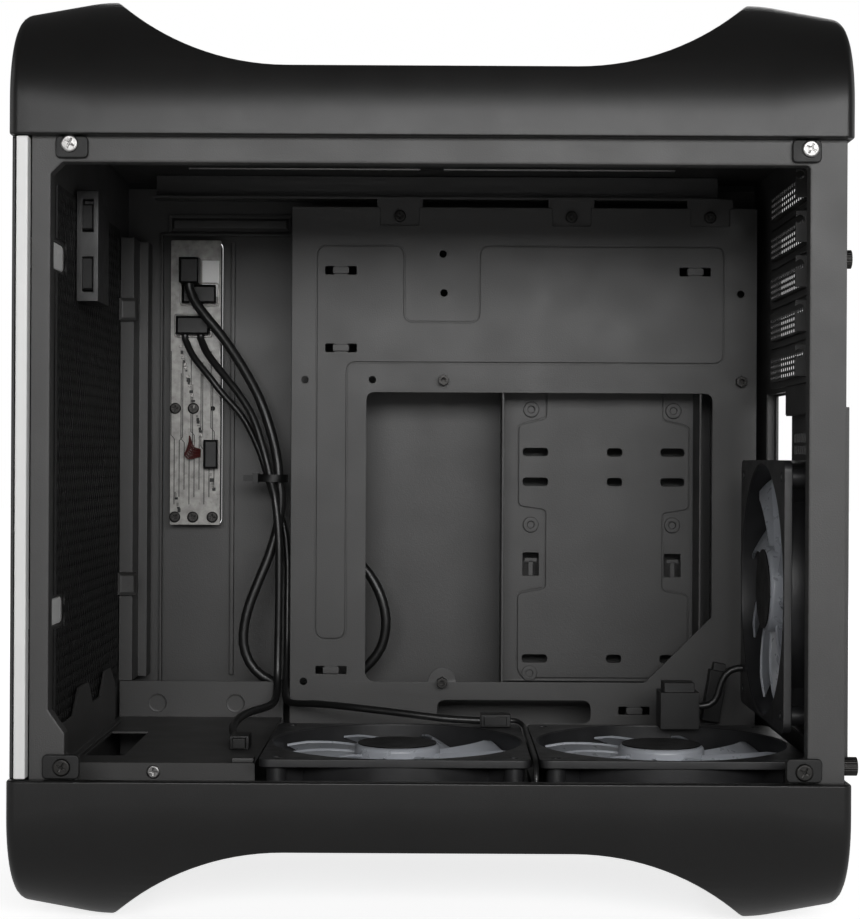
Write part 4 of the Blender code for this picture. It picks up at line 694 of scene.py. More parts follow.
def make_handle(name, node, side, floor_rise):
    ends = [0.1795, 0.170, 0.160, 0.1517, 0.1497, 0.1472, 0.1447, 0.1417]
    stations = [-x for x in ends] + list(reversed(ends))
    handle = bridge_rings(name, stations, 0.0, JOINT_RISE)
    rim = HALF_LENGTH - 0.00001
    pick(handle, "EDGE", lambda place, along: (abs(place.x - BODY_X) > rim
                                               and place.z > MID_Z + JOINT_RISE + 0.0002))
    bpy.ops.mesh.bevel(offset=0.0042, segments=5)
    put_down()
    lip = MID_Z + floor_rise + 0.0022
    reach = HALF_LENGTH - 0.0018
    room = [-reach] + [-x for x in ends[1:]] + list(reversed(ends[1:])) + [reach]
    hollow = bridge_rings("hollow", room, SHELL_WALL, JOINT_RISE - SHELL_WALL)
    tunnel = bridge_rings("tunnel", [-0.1855] + room + [0.1855], SHELL_WALL,
                          JOINT_RISE - SHELL_WALL)
    pick_all(tunnel, "FACE")
    bpy.ops.mesh.bisect(plane_co=(0, 0, lip), plane_no=(0, 0, 1), use_fill=True, clear_inner=True)
    tidy_mesh(tunnel)
    scoop = block("scoop", (BODY_X - 0.062, -0.2, MID_Z + 0.1676), (BODY_X + 0.062, 0.2, 0.5))
    rolls = [bar("roll", (BODY_X + x, 0, MID_Z + 0.2709), 0.1033, 0.4, "Y", 128)
             for x in (-0.062, 0.062)]
    carve(handle, hollow, tunnel, scoop, *rolls)
    ease(handle, 0.0009, 3, 32)
    if side < 0:
        pick_all(handle)
        bpy.ops.transform.resize(value=(1, 1, -1), center_override=(0, 0, MID_Z))
        bpy.ops.mesh.normals_make_consistent(inside=False)
    return dress(shade(handle, 30), "soft_black_shell", replaces=[node])


# Front panel


def make_front():
    skin_x = -0.17975
    high = JOINT_RISE - 0.0003
    outline = rounded(oblong(-0.124, 0.124, MID_Z - high, MID_Z + high), 0.002)
    skin = cut_sheet("front_skin_plate", [outline], "X", skin_x, skin_x + 0.0013, 0.0004, 2)
    low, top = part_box("front_panel")
    ring = oblong(-0.0654, 0.0654, MID_Z - high + 0.005, MID_Z + high - 0.005)
    ribs = cut_sheet("front_ribs", [ring, shrink(ring, 0.005)], "X", skin_x + 0.0008, top.x)
    panel = gather(skin, ribs)
    dress(shade(panel), "front_skin", replaces=["front_panel"])
    for side, node in ((-1, "light_bar_near"), (1, "light_bar_far")):
        low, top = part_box(node)
        edge = sorted((side * 0.124, side * 0.117))
        strip = oblong(edge[0], edge[1], low.z, top.z)
        bar_piece = cut_sheet(node + "_strip", [rounded(strip, 0.0008, 3)], "X",
                              low.x, low.x + 0.005, 0.0006, 2)
        for rise in LUG_RISES:
            reach = sorted((side * 0.1175, side * 0.0743))
            arm = rounded(oblong(reach[0], reach[1], MID_Z + rise - LUG_HALF,
                                 MID_Z + rise + LUG_HALF), 0.0027)
            neck = cut_sheet("lug_neck", [arm], "X", low.x + 0.0005, low.x + 0.0045, 0.0004)
            tip = sorted((side * 0.1037, side * 0.0743))
            face = rounded(oblong(tip[0], tip[1], MID_Z + rise - LUG_HALF,
                                  MID_Z + rise + LUG_HALF), 0.0027)
            lug = cut_sheet("lug", [face], "X", low.x + 0.003, top.x, 0.0005)
            gather(bar_piece, neck, lug)
        dress(shade(bar_piece), "light_bar", replaces=[node])


# Steel body


CORNERS = {
    "upper_front": ((-0.15605, 0.3374), (0.0061, 0.0078, 0.0060), "zinc_screw"),
    "upper_rear": ((0.15885, 0.3368), (0.0077, 0.0048, 0.0058), "zinc_screw"),
    "lower_front": ((-0.15815, 0.0724), (0.0084, 0.0074, 0.0053), "black_screw"),
    "lower_rear": ((0.15745, 0.0718), (0.0076, 0.0077, 0.0057), "black_screw"),
}


def make_near_frame():
    left, right = -0.16445, 0.15915
    window = [(-0.15195, 0.063), (0.15105, 0.063), (0.15105, 0.0763), (right, 0.0763),
              (right, 0.330), (left + 0.005, 0.330), (left, 0.325), (left, 0.0965),
              (left + 0.007, 0.0865), (left + 0.007, 0.0765), (-0.15195, 0.0765)]
    window = rounded(window, 0.0018, 4)
    outline = rounded(oblong(FRAME_FRONT, FRAME_REAR, MID_Z - 0.1467, MID_Z + 0.1467), 0.001, 2)
    holes = [circle(corner[0], 0.0021, 20) for corner in CORNERS.values()]
    plate = cut_sheet("open_side_plate", [outline, shrink(window, -0.0006)] + holes, "Y",
                      NEAR_FACE, NEAR_FACE + 0.0012, 0.0003)
    lip = cut_sheet("open_side_lip", [shrink(window, -0.0012), window], "Y",
                    NEAR_FACE + 0.0001, NEAR_FACE + 0.008, 0.00055, 3)
    frame_piece = gather(plate, lip)
    return dress(shade(frame_piece), "painted_steel", replaces=["near_frame"])


# Board tray


TIE_HOOKS = [(-0.04925, 0.3025), (-0.04905, 0.2620), (0.13555, 0.3025), (-0.05345, 0.0938),
             (0.10485, 0.0733)]
STANDOFFS = [(0.00456, 0.2453), (0.15950, 0.2453), (0.00456, 0.0878)]
TRAY_HOLES = [(-0.06783, 0.2453), (-0.06783, 0.0878), (0.00456, 0.2910), (0.15950, 0.2910),
              (0.0040, 0.3113), (-0.0326, 0.2455)]
BEAM_TABS = [-0.01865, 0.07095, 0.14345]


def tray_edge():
    high = 0.3357
    points = [(TRAY_LEFT, 0.0473), (TRAY_RIGHT, 0.0473), (TRAY_RIGHT, high)]
    for centre in reversed(BEAM_TABS):
        points += [(centre + 0.0102, high), (centre + 0.0102, high - 0.0095),
                   (centre - 0.0102, high - 0.0095), (centre - 0.0102, high)]
    points.append((TRAY_LEFT, high))
    return rounded(points, 0.001, 3)


def tray_window():
    left, right, low, high = -0.03565, 0.14505, 0.088, 0.239
    ear = arc((0.00456, low), 0.0073, 180, 0, 14)
    return (arc((left + 0.005, low + 0.005), 0.005, 180, 270, 6)
            + ear
            + [(right - 0.0355, low), (right - 0.0335, low + 0.001), (right, low + 0.0345)]
            + arc((right - 0.004, high - 0.004), 0.004, 0, 90, 6)
            + arc((left + 0.004, high - 0.004), 0.004, 90, 180, 6))


def pressed_field():
    left, strip, right = -0.06155, -0.04635, 0.15035
    high, ledge, low = 0.3153, 0.2548, 0.1103
    return rounded([(left, low), (strip, low), (strip, ledge), (right, ledge), (right, high),
                    (0.02335, high), (0.02335, 0.2754), (-0.01645, 0.2754), (-0.01645, high),
                    (left, high)], 0.0055, 6)


def make_tray():
    field = pressed_field()
    slot = rounded(oblong(0.00215, 0.08215, 0.0665, 0.0785), 0.0045, 6)
    ties = []
    for x, z in TIE_HOOKS:
        for side in (-1, 1):
            start = x + side * 0.0057
            ties.append(rounded(oblong(start - 0.0024, start + 0.0024, z - 0.0021, z + 0.0021),
                                0.0006, 2))
    small = [circle(place, 0.0019, 20) for place in TRAY_HOLES]
    holes = [tray_window(), slot] + ties + small
    back = cut_sheet("tray_back", [tray_edge()] + holes, "Y", 0.0725, 0.0732, 0.0002)
    outside = [tray_window(), slot] + ties[6:] + small
    face = cut_sheet("tray_face", [tray_edge(), shrink(field, -0.0008)] + outside,
                     "Y", 0.0720, 0.0726, 0.0002)
    inner = cut_sheet("tray_field", [field] + ties[:6], "Y", 0.0714, 0.0726, 0.00035, 2)
    lip = block("tray_lip", (TRAY_LEFT - 0.0002, 0.0721, 0.0475), (TRAY_LEFT + 0.0012, 0.084, 0.3355))
    ease(lip, 0.0004, 2)
    tray = gather(face, back, inner, lip)
    tray.name = "tray_sheet"
    dress(shade(tray), "painted_steel", replaces=["motherboard_tray"])
    for index, (x, z) in enumerate(TIE_HOOKS):
        strap = block(f"tie_strap_{index + 1}", (x - 0.0042, 0.0700, z - 0.0017),
                      (x + 0.0042, 0.0712, z + 0.0017))
        pick(strap, "FACE", lambda place, facing: facing.y > 0.9)
        bpy.ops.mesh.inset(thickness=0.0006)
        bpy.ops.transform.resize(value=(1.25, 1, 1), center_override=(x, 0.0712, z))
        bpy.ops.transform.translate(value=(0, 0.0006, 0))
        put_down()
        ease(strap, 0.0003, 2)
        dress(shade(strap), "painted_steel")
    for index, (x, z) in enumerate(STANDOFFS):
        post = bar(f"standoff_{index + 1}", (x, 0.06935, z), 0.003, 0.0059, "Y", 6)
        ease(post, 0.0003, 2)
        bore = bar("bore", (x, 0.0665, z), 0.0014, 0.008, "Y", 24)
        carve(post, bore)
        dress(shade(post), "black_screw")
    return tray


def turn_flat_edges(piece):
    """Turn the edges inside flat faces, so that easing folds none of their slivers over."""
    pick_all(piece, "FACE")
    for _ in range(4):
        bpy.ops.mesh.beautify_fill(angle_limit=math.radians(0.5))
    put_down()
    return piece


# Edge widths of the nodes whose faces hold the thinnest slivers
FINE_EDGES = {"rear_panel": 0.00006, "top_beam": 0.00006}


def soften(node, slot, width=0.0003, segments=2, body="case", angle=40, turn=35, finish=None):
    """A node's own shape with its edges eased."""
    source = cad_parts[node]
    piece = put_in_scene(node + "_eased", source.data.copy())
    piece.matrix_world = source.matrix_world
    take(piece)
    piece = placed(node + "_eased")
    tidy_mesh(piece, 0.00001)
    turn_flat_edges(piece)
    ease(piece, width, segments, angle)
    shade(piece, turn)
    refine(piece, "WEIGHTED_NORMAL", keep_sharp=True, weight=100)
    return dress(piece, slot, body, [node], finish)


# Fans


FAN_PLACES = {
    "front_floor_fan": Matrix.Translation((-0.01695, -0.0345, 0.0598)),
    "rear_floor_fan": Matrix.Translation((0.10665, -0.0345, 0.0598)),
    "rear_fan": Matrix.Translation((0.16495, -0.038, 0.1445))
    @ Matrix.Rotation(math.radians(-90), 4, "Y"),
}


def model_fan_frame():
    """Two square flanges, the duct, corner tubes and the motor's spider, about its own centre."""
    square = rounded(oblong(-FAN_HALF, FAN_HALF, -FAN_HALF, FAN_HALF), 0.0055, 6)
    corners = [(x, y) for x in (-FAN_HOLE, FAN_HOLE) for y in (-FAN_HOLE, FAN_HOLE)]
    bores = [circle(place, 0.00215, 20) for place in corners]
    plate = [square, circle((0, 0), FAN_MOUTH, 96)] + bores
    housing = cut_sheet("fan_housing", plate, "Z", -FAN_HALF_DEPTH, -FLANGE_INSIDE, 0.0004, 2)
    flange = cut_sheet("fan_flange", plate, "Z", FLANGE_INSIDE, FAN_HALF_DEPTH, 0.0004, 2)
    duct = cut_sheet("fan_duct", [circle((0, 0), 0.0596, 96), circle((0, 0), 0.0580, 96)], "Z",
                     -0.0121, 0.0121, 0.0002)
    parts = [housing, flange, duct]
    for place, bore in zip(corners, bores):
        parts.append(cut_sheet("fan_tube", [circle(place, 0.0044, 28), bore], "Z",
                               -0.0090, 0.0090, 0.0002))
        inward = Vector(place).normalized()
        web = block("fan_web", (0.0592, -0.0009, -0.0090), (0.0704, 0.0009, 0.0090))
        parts.append(copy_of(web, "fan_web", Matrix.Rotation(math.atan2(inward.y, inward.x), 4, "Z")))
        throw_away(web)
    motor = bar("fan_motor", (0, 0, -0.0107), 0.021, 0.0024, "Z", 64)
    ease(motor, 0.0004, 2)
    parts.append(motor)
    arm = block("fan_arm", (0.0195, -0.0023, -0.0118), (0.0590, 0.0023, -0.0097))
    ease(arm, 0.0005, 2)
    for quarter in range(4):
        turn = Matrix.Rotation(math.radians(45 + 90 * quarter), 4, "Z")
        parts.append(copy_of(arm, "fan_arm", turn))
    throw_away(arm)
    return gather(*parts)


def model_blade():
    """A thin blade from hub to tip: its chord sweeps forward and its pitch flattens outwards."""
    bm = bmesh.new()
    rows = []
    for step in range(15):
        share = step / 14
        radius = BLADE_ROOT + (BLADE_TIP - BLADE_ROOT) * share
        pitch = math.radians(48 - 22 * share)
        chord = 0.0165 + 0.0165 * share - 0.0050 * max(0.0, share - 0.8) / 0.2
        sweep = math.radians(26) * share ** 1.4
        row = []
        for count in range(9):
            along = count / 8 - 0.5
            lift = along * chord * math.sin(pitch) + 0.0012 * (1 - (2 * along) ** 2)
            angle = sweep + along * chord * math.cos(pitch) / radius
            row.append(bm.verts.new((radius * math.cos(angle), radius * math.sin(angle),
                                     0.00105 + lift)))
        rows.append(row)
    for first, second in zip(rows, rows[1:]):
        for index in range(8):
            bm.faces.new((first[index], first[index + 1], second[index + 1], second[index]))
    mesh = bpy.data.meshes.new("fan_blade")
    bm.to_mesh(mesh)
    bm.free()
    blade = put_in_scene("fan_blade", mesh)
    refine(blade, "SOLIDIFY", thickness=0.0012, offset=0.0)
    return ease(blade, 0.0003, 2, 50)


def model_rotor():
    """Hub with a rounded crown and a bare disc, and nine blades."""
    hub = bar("fan_rotor", (0, 0, 0.00105), 0.020, 0.0205, "Z", 72)
    press(hub, (0, 0, 1), (0.0034, 0), (0.0002, -0.0004))
    pick(hub, "EDGE", lambda place, along: (abs(along.z) < 0.5 and place.z > 0.011
                                            and place.xy.length > 0.019))
    bpy.ops.mesh.bevel(offset=0.0022, segments=5)
    put_down()
    ease(hub, 0.0003, 2, 50)
    blade = model_blade()
    blades = [copy_of(blade, "fan_blade", Matrix.Rotation(math.radians(40 * index), 4, "Z"))
              for index in range(9)]
    throw_away(blade)
    return gather(hub, *blades)


def make_fans():
    housing = model_fan_frame()
    rotor = model_rotor()
    for name, place in FAN_PLACES.items():
        piece = copy_of(housing, name + "_housing", place)
        dress(shade(piece, 35), "fan_frame_plastic", replaces=[name + "_frame"])
        piece = copy_of(rotor, name + "_impeller", place)
        dress(shade(piece, 40), "fan_blade", name, [name + "_rotor"])
        blank = bar(name + "_hub_disc", (0, 0, 0.0116), 0.0184, 0.0005, "Z", 72)
        press(blank, (0, 0, 1), (0.0012, 0), GROOVE, (0.0036, 0), GROOVE, (0.0040, 0), GROOVE)
        disc = copy_of(blank, name + "_bare_disc", place)
        throw_away(blank)
        dress(shade(disc), "black_plastic", name, finish="plug_black")
    throw_away(housing, rotor)


# Screws and corner ears


def model_cross_screw():
    """Pan head with a cross recess, its face toward -Y, about the underside of the head."""
    head = bar("cross_screw", (0, -0.0007, 0), 0.0030, 0.0014, "Y", 40)
    pick(head, "EDGE", lambda place, along: abs(along.y) < 0.5 and place.y < -0.0013)
    bpy.ops.mesh.bevel(offset=0.0008, segments=5)
    put_down()
    slots = [block("recess", (-0.0018, -0.0020, -0.00033), (0.0018, -0.0006, 0.00033)),
             block("recess", (-0.00033, -0.0020, -0.0018), (0.00033, -0.0006, 0.0018)),
             bar("recess", (0, -0.0012, 0), 0.0007, 0.0014, "Y", 8)]
    carve(head, *slots)
    ease(head, 0.00008, 2, 40)
    return shade(head, 35)


def put_screw(screw, name, place, slot, replaces=()):
    """Copy the screw to its place."""
    return dress(copy_of(screw, name, place), slot, replaces=replaces)


def make_corners(screw):
    """Moulded ears at the four corners, each with its screw."""
    for name, ((x, z), (front, rear, inner), slot) in CORNERS.items():
        side = 1 if z > MID_Z else -1
        edge = MID_Z + side * (JOINT_RISE - 0.0003)
        low, high = sorted((edge, z - side * inner))
        outline = rounded(oblong(x - front, x + rear, low, high), 0.0024, 6)
        ear = cut_sheet(name + "_ear", [outline, circle((x, z), 0.0019, 24)], "Y",
                        EAR_FACE, -0.1190, 0.0006, 3)
        dress(shade(ear), "black_plastic", replaces=[name + "_clip"], finish="ear_black")
        shank = bar(name + "_shank", (x, -0.1183, z), 0.0016, 0.0068, "Y", 20)
        dress(shade(shank), slot)
        place = (Matrix.Translation((x, EAR_FACE, z)) @ Matrix.Rotation(0.5, 4, "Y")
                 @ Matrix.Diagonal((1.25, 1.0, 1.25, 1.0)))
        put_screw(screw, name + "_cross_screw", place, slot, [name + "_screw"])


def make_thumbscrew(node):
    low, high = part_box(node)
    middle = (low + high) / 2
    start = 0.17535
    reach = high.x - start
    head = bar(node + "_knob", (start + reach / 2, middle.y, middle.z), 0.0041, reach, "X", 48)
    pick(head, "VERT", lambda place, facing: round(math.atan2(
        place.z - middle.z, place.y - middle.y) / math.radians(7.5)) % 2 == 0)
    bpy.ops.transform.resize(value=(1, 0.93, 0.93),
                             center_override=(start, middle.y, middle.z))
    put_down()
    press(head, (1, 0, 0), (0.0009, -0.0005))
    ease(head, 0.00015, 1, 50)
    slots = [block("recess", (high.x - 0.0014, middle.y - 0.0019, middle.z - 0.0003),
                   (high.x + 0.001, middle.y + 0.0019, middle.z + 0.0003)),
             block("recess", (high.x - 0.0014, middle.y - 0.0003, middle.z - 0.0019),
                   (high.x + 0.001, middle.y + 0.0003, middle.z + 0.0019))]
    carve(head, *slots)
    shank = bar("shank", (start - 0.0025, middle.y, middle.z), 0.0016, 0.0060, "X", 20)
    gather(head, shank)
    return dress(shade(head, 30), "black_screw", replaces=[node])


# Slot covers


def make_slot_covers():
    """Blanking plates with a raised field of oval vents and a bent screw tab."""
    near = -0.061
    for number in range(1, 6):
        z = MID_Z + FIRST_SLOT_RISE - SLOT_PITCH * (number - 1)
        plate = rounded(oblong(near, near + 0.118, z - 0.0092, z + 0.0092), 0.0016, 4)
        rim = rounded(oblong(near + 0.012, near + 0.106, z - 0.00595, z + 0.00595), 0.0022, 5)
        cover = cut_sheet(f"vented_cover_{number}", [plate, shrink(rim, 0.0005)], "X",
                          0.17255, 0.17355, 0.0002)
        wall = cut_sheet("cover_wall", [rim, shrink(rim, 0.0009)], "X", 0.1701, 0.1733, 0.0002)
        vents = []
        for row in (-1.5, -0.5, 0.5, 1.5):
            for column in range(16):
                y = near + 0.0182 + 0.0054 * column
                middle = z + 0.0028 * row
                reach = 0.0021 if column < 14 else 0.0023
                vents.append(rounded(oblong(y - reach, y + reach, middle - 0.0009,
                                            middle + 0.0009), 0.0009, 3))
        face = cut_sheet("cover_field", [shrink(rim, 0.0003)] + vents, "X", 0.16995, 0.17055,
                         0.0001)
        tab = block("cover_tab", (0.16355, near - 0.0005, z - 0.0072),
                    (0.1733, near + 0.0005, z + 0.0072))
        ease(tab, 0.0003, 2)
        notch = bar("notch", (0.1655, near, z + 0.0032), 0.0021, 0.004, "Y", 24)
        carve(tab, notch)
        gather(cover, wall, face, tab)
        dress(shade(cover), "painted_steel", replaces=[f"slot_cover_{number}"])


# Drive carrier


def make_drive_carrier():
    left, right, low, high = 0.03525, 0.13965, 0.0855, 0.264
    field = rounded([(0.0472, 0.0875), (0.1200, 0.0875), (0.1358, 0.1030), (0.1358, 0.1319),
                     (0.1220, 0.1341), (0.1220, 0.1759), (0.1362, 0.1780), (0.1362, 0.2220),
                     (0.1220, 0.2252), (0.1220, 0.2580), (0.0601, 0.2580), (0.0601, 0.2262),
                     (0.0452, 0.2225), (0.0452, 0.1796), (0.0599, 0.1775), (0.0599, 0.1352),
                     (0.0450, 0.1325), (0.0450, 0.0925)], 0.003, 4)
    slots = []
    for z in (0.2083, 0.1924, 0.0978):
        for start, end in ((0.0474, 0.0608), (0.0925, 0.1005), (0.1212, 0.1338)):
            if z < 0.1 and start > 0.12:
                end = 0.1280
            slots.append(rounded(oblong(start, end, z - 0.0021, z + 0.0021), 0.0020, 4))
    windows = [oblong(0.0475, 0.0562, 0.1420, 0.1544), oblong(0.1233, 0.1322, 0.1416, 0.1540)]
    windows = [rounded(window, 0.0006, 2) for window in windows]
    bosses = [(0.0518, 0.2310), (0.1279, 0.2306), (0.0518, 0.1694), (0.1275, 0.1694),
              (0.0514, 0.0898)]
    outer = rounded(oblong(left + 0.0004, right - 0.0004, low, high), 0.001, 3)
    face = cut_sheet("drive_face", [outer, shrink(field, -0.0008)] + windows, "Y",
                     0.0994, 0.1001, 0.0002)
    back = cut_sheet("drive_back", [outer] + slots + windows, "Y", 0.1000, 0.1006, 0.0002)
    inner = cut_sheet("drive_field", [field] + slots, "Y", 0.0984, 0.1001, 0.0003, 2)
    folds = []
    for edge in (left, right - 0.0012):
        fold = block("drive_fold", (edge, 0.0735, low + 0.0006), (edge + 0.0012, 0.1000,
                                                                   high - 0.0006))
        folds.append(ease(fold, 0.0003, 2))
    carrier = gather(face, back, inner, *folds)
    carrier.name = "drive_carrier"
    dress(shade(carrier), "painted_steel", replaces=["drive_bracket"])
    for index, (x, z) in enumerate(bosses):
        ring = cut_sheet(f"drive_boss_{index + 1}", [circle((x, z), 0.0042, 32),
                                                     circle((x, z), 0.0018, 20)],
                         "Y", 0.0980, 0.0997, 0.0004, 2)
        dress(shade(ring), "painted_steel")
    for index, (x, z) in enumerate(((0.05185, 0.1482), (0.12775, 0.1478))):
        stem = block(f"drive_hook_{index + 1}", (x - 0.0013, 0.0990, z - 0.0062),
                     (x + 0.0013, 0.1002, z + 0.0020))
        head = block("hook_head", (x - 0.0033, 0.0990, z + 0.0012), (x + 0.0033, 0.1002,
                                                                       z + 0.0034))
        gather(stem, head)
        ease(stem, 0.0002, 1)
        dress(shade(stem), "painted_steel")


# Front air mesh


def make_air_mesh():
    """Sheet with a close pattern of diamond openings."""
    low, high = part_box("front_mesh")
    middle = (low + high) / 2
    reach = max(high.y - low.y, high.z - low.z) * 0.75
    put_down()
    count = 64
    bpy.ops.mesh.primitive_grid_add(x_subdivisions=count, y_subdivisions=count, size=2 * reach,
                                    location=middle, rotation=(0, math.pi / 2, 0))
    sheet = placed("air_mesh")
    pick_all(sheet)
    bpy.ops.transform.rotate(value=math.radians(45), orient_axis="X", center_override=middle)
    bpy.ops.transform.resize(value=(1, 0.72, 1.25), center_override=middle)
    put_down()
    rim = 0.004
    for place, facing in (((0, low.y, 0), (0, -1, 0)), ((0, high.y, 0), (0, 1, 0)),
                          ((0, 0, low.z), (0, 0, -1)), ((0, 0, high.z), (0, 0, 1))):
        pick_all(sheet)
        bpy.ops.mesh.bisect(plane_co=place, plane_no=facing, clear_outer=True)
        put_down()
    pick(sheet, "FACE", lambda place, facing: (low.y + rim < place.y < high.y - rim
                                               and low.z + rim < place.z < high.z - rim))
    bpy.ops.mesh.inset(thickness=0.0007, use_individual=True, use_boundary=True)
    bpy.ops.mesh.delete(type="FACE")
    put_down()
    for rise in LUG_RISES:
        z = MID_Z + rise
        for place, facing in (((0, -0.0735, 0), (0, 1, 0)), ((0, 0, z - 0.0075), (0, 0, 1)),
                              ((0, 0, z + 0.0075), (0, 0, 1))):
            pick(sheet, "FACE", lambda spot, turn: spot.y < -0.066 and abs(spot.z - z) < 0.016)
            bpy.ops.mesh.bisect(plane_co=place, plane_no=facing)
            put_down()
        pick(sheet, "FACE", lambda spot, turn: spot.y < -0.0735 and abs(spot.z - z) < 0.0075)
        bpy.ops.mesh.delete(type="FACE")
        put_down()
    refine(sheet, "SOLIDIFY", thickness=high.x - low.x, offset=0.0)
    # The mesh is given a far darker black than the painted steel of its slot: partly its own black,
    # partly painted shade
    return dress(shade(sheet), "painted_steel", replaces=["front_mesh"], finish="black_and_painted_shade")


# Far cover


def make_far_cover():
    """Side cover with its folded rim, a stiffening rib and the window for the controls."""
    outline = oblong(FRAME_FRONT, FRAME_REAR, MID_Z - 0.1367, MID_Z + 0.1367)
    window = rounded(oblong(*STRIP_SPAN), 0.003, 4)
    sheet = cut_sheet("far_cover_sheet", [rounded(outline, 0.0008, 2), window], "Y",
                      0.1218, 0.1230, 0.0003)
    fold = cut_sheet("far_cover_fold", [outline, shrink(outline, 0.0012)], "Y",
                     0.1190, 0.1224, 0.0003)
    rib = block("far_cover_rib", (-0.11145, 0.1188, MID_Z - 0.118), (-0.10925, 0.1222,
                                                                     MID_Z + 0.118))
    ease(rib, 0.0004, 2)
    cover = gather(sheet, fold, rib)
    return dress(shade(cover), "painted_steel", replaces=["far_cover"])


# Control board


def make_control_board():
    left, right, low, high = STRIP_SPAN
    near = BOARD_FACE
    holes = [circle((left + across, z), 0.0013, 20)
             for z in (0.2310, 0.1722) for across in (0.0027, 0.0125, 0.0230)]
    board = cut_sheet("control_board", [rounded(oblong(left, right, low, high), 0.0008, 3)]
                      + holes, "Y", near, 0.1123, 0.0001)
    dress(shade(board), "circuit_board", replaces=["io_board"])
    sockets = {
        "usb_socket": ((0.0055, 0.0160), 0.0107, (0.2982, 0.3120)),
        "power_socket": ((0.0064, 0.0246), 0.0042, (0.2879, 0.2976)),
        "audio_socket": ((0.0033, 0.0210), 0.0052, (0.2710, 0.2807)),
        "wire_header": ((0.0185, 0.0260), 0.0057, (0.1985, 0.2140)),
    }
    for name, (across, proud, rises) in sockets.items():
        piece = block(name, (left + across[0], near - proud, rises[0]),
                      (left + across[1], near + 0.0002, rises[1]))
        press(piece, (0, -1, 0), (0.0009, -min(0.003, 0.5 * proud)))
        ease(piece, 0.0002, 2)
        dress(shade(piece), "black_plastic", finish="plug_black")
    for index, (start, end, bottom, top) in enumerate(((0.0050, 0.0262, 0.2864, 0.2990),
                                                       (0.0020, 0.0224, 0.2695, 0.2822))):
        outline = rounded(oblong(left + start, left + end, bottom, top), 0.0014, 3)
        clip = cut_sheet(f"socket_clip_{index + 1}", [outline, shrink(outline, 0.0008)], "Y",
                         near - 0.0016, near + 0.0001, 0.0002)
        dress(shade(clip), "circuit_board", finish="dull_metal")
    chips = []
    for index in range(46):
        across = 0.0028 + 0.0215 * ((index * 0.618) % 1.0)
        rise = 0.1755 + 0.0905 * ((index * 0.3819 + 0.11) % 1.0)
        wide = 0.0010 + 0.0011 * ((index * 0.27) % 1.0)
        tall = 0.0008 + 0.0014 * ((index * 0.41) % 1.0)
        chips.append((left + across, rise, wide, tall, 0.0004 + 0.0004 * (index % 3)))
    dark = []
    pale = []
    for index, (x, z, wide, tall, proud) in enumerate(chips):
        if 0.197 < z < 0.216 and x > left + 0.016:
            continue
        piece = block("board_part", (x - wide / 2, near - proud, z - tall / 2),
                      (x + wide / 2, near + 0.0001, z + tall / 2))
        ease(piece, 0.0001, 1)
        (dark if index % 2 else pale).append(piece)
    for group, name, slot in ((dark, "board_chips", "black_plastic"),
                              (pale, "board_caps", "port_metal")):
        piece = gather(*group)
        piece.name = name
        dress(shade(piece), slot, finish="plug_black" if slot == "black_plastic" else "dull_metal")
    patch = block("white_patch", (left + 0.0170, near - 0.0012, 0.2915),
                  (left + 0.0262, near + 0.0001, 0.3110))
    ease(patch, 0.0002, 2)
    dress(shade(patch), "light_bar")
    traces = []
    for index in range(9):
        x = left + 0.0022 + 0.0027 * index
        start = 0.1790 + 0.0040 * (index % 3)
        end = 0.2620 - 0.0060 * (index % 4)
        bend = 0.0018 * (1 if index % 2 else -1)
        middle = (start + end) / 2
        line = [(x, start), (x, middle - 0.006), (x + bend, middle - 0.004), (x + bend, end)]
        width = 0.00022
        outline = [(u - width, v) for u, v in line] + [(u + width, v) for u, v in reversed(line)]
        traces.append(outline)
    strips = [cut_sheet("board_trace", [outline], "Y", near - 0.00014, near + 0.0001, 0.00004)
              for outline in traces]
    piece = gather(*strips)
    piece.name = "board_traces"
    dress(shade(piece), "circuit_board", finish="plug_black")
    for index in range(6):
        points = [(left + 0.0165, near - 0.0012, 0.2085 - 0.0007 * index),
                  (left + 0.0120 - 0.0006 * index, near - 0.0046, 0.2110 - 0.0012 * index),
                  (left + 0.0105 + 0.0004 * index, near - 0.0004, 0.2160 - 0.0010 * index)]
        short_wire(f"board_wire_{index + 1}", points, 0.0009)


def short_wire(name, points, diameter):
    """A short stiff wire that is soldered at both ends."""
    curve = bpy.data.curves.new(name, "CURVE")
    curve.dimensions = "3D"
    curve.bevel_depth = diameter / 2
    curve.bevel_resolution = 2
    curve.use_fill_caps = True
    spline = curve.splines.new("BEZIER")
    spline.bezier_points.add(len(points) - 1)
    for knot, place in zip(spline.bezier_points, points):
        knot.co = place
        knot.handle_left_type = "AUTO"
        knot.handle_right_type = "AUTO"
    wire = put_in_scene(name, curve)
    take(wire)
    bpy.ops.object.convert(target="MESH")
    wire = placed(name)
    tidy_mesh(wire)
    return dress(shade(wire, 60), "cord_sleeve", finish="wire_red")


# Small fittings inside


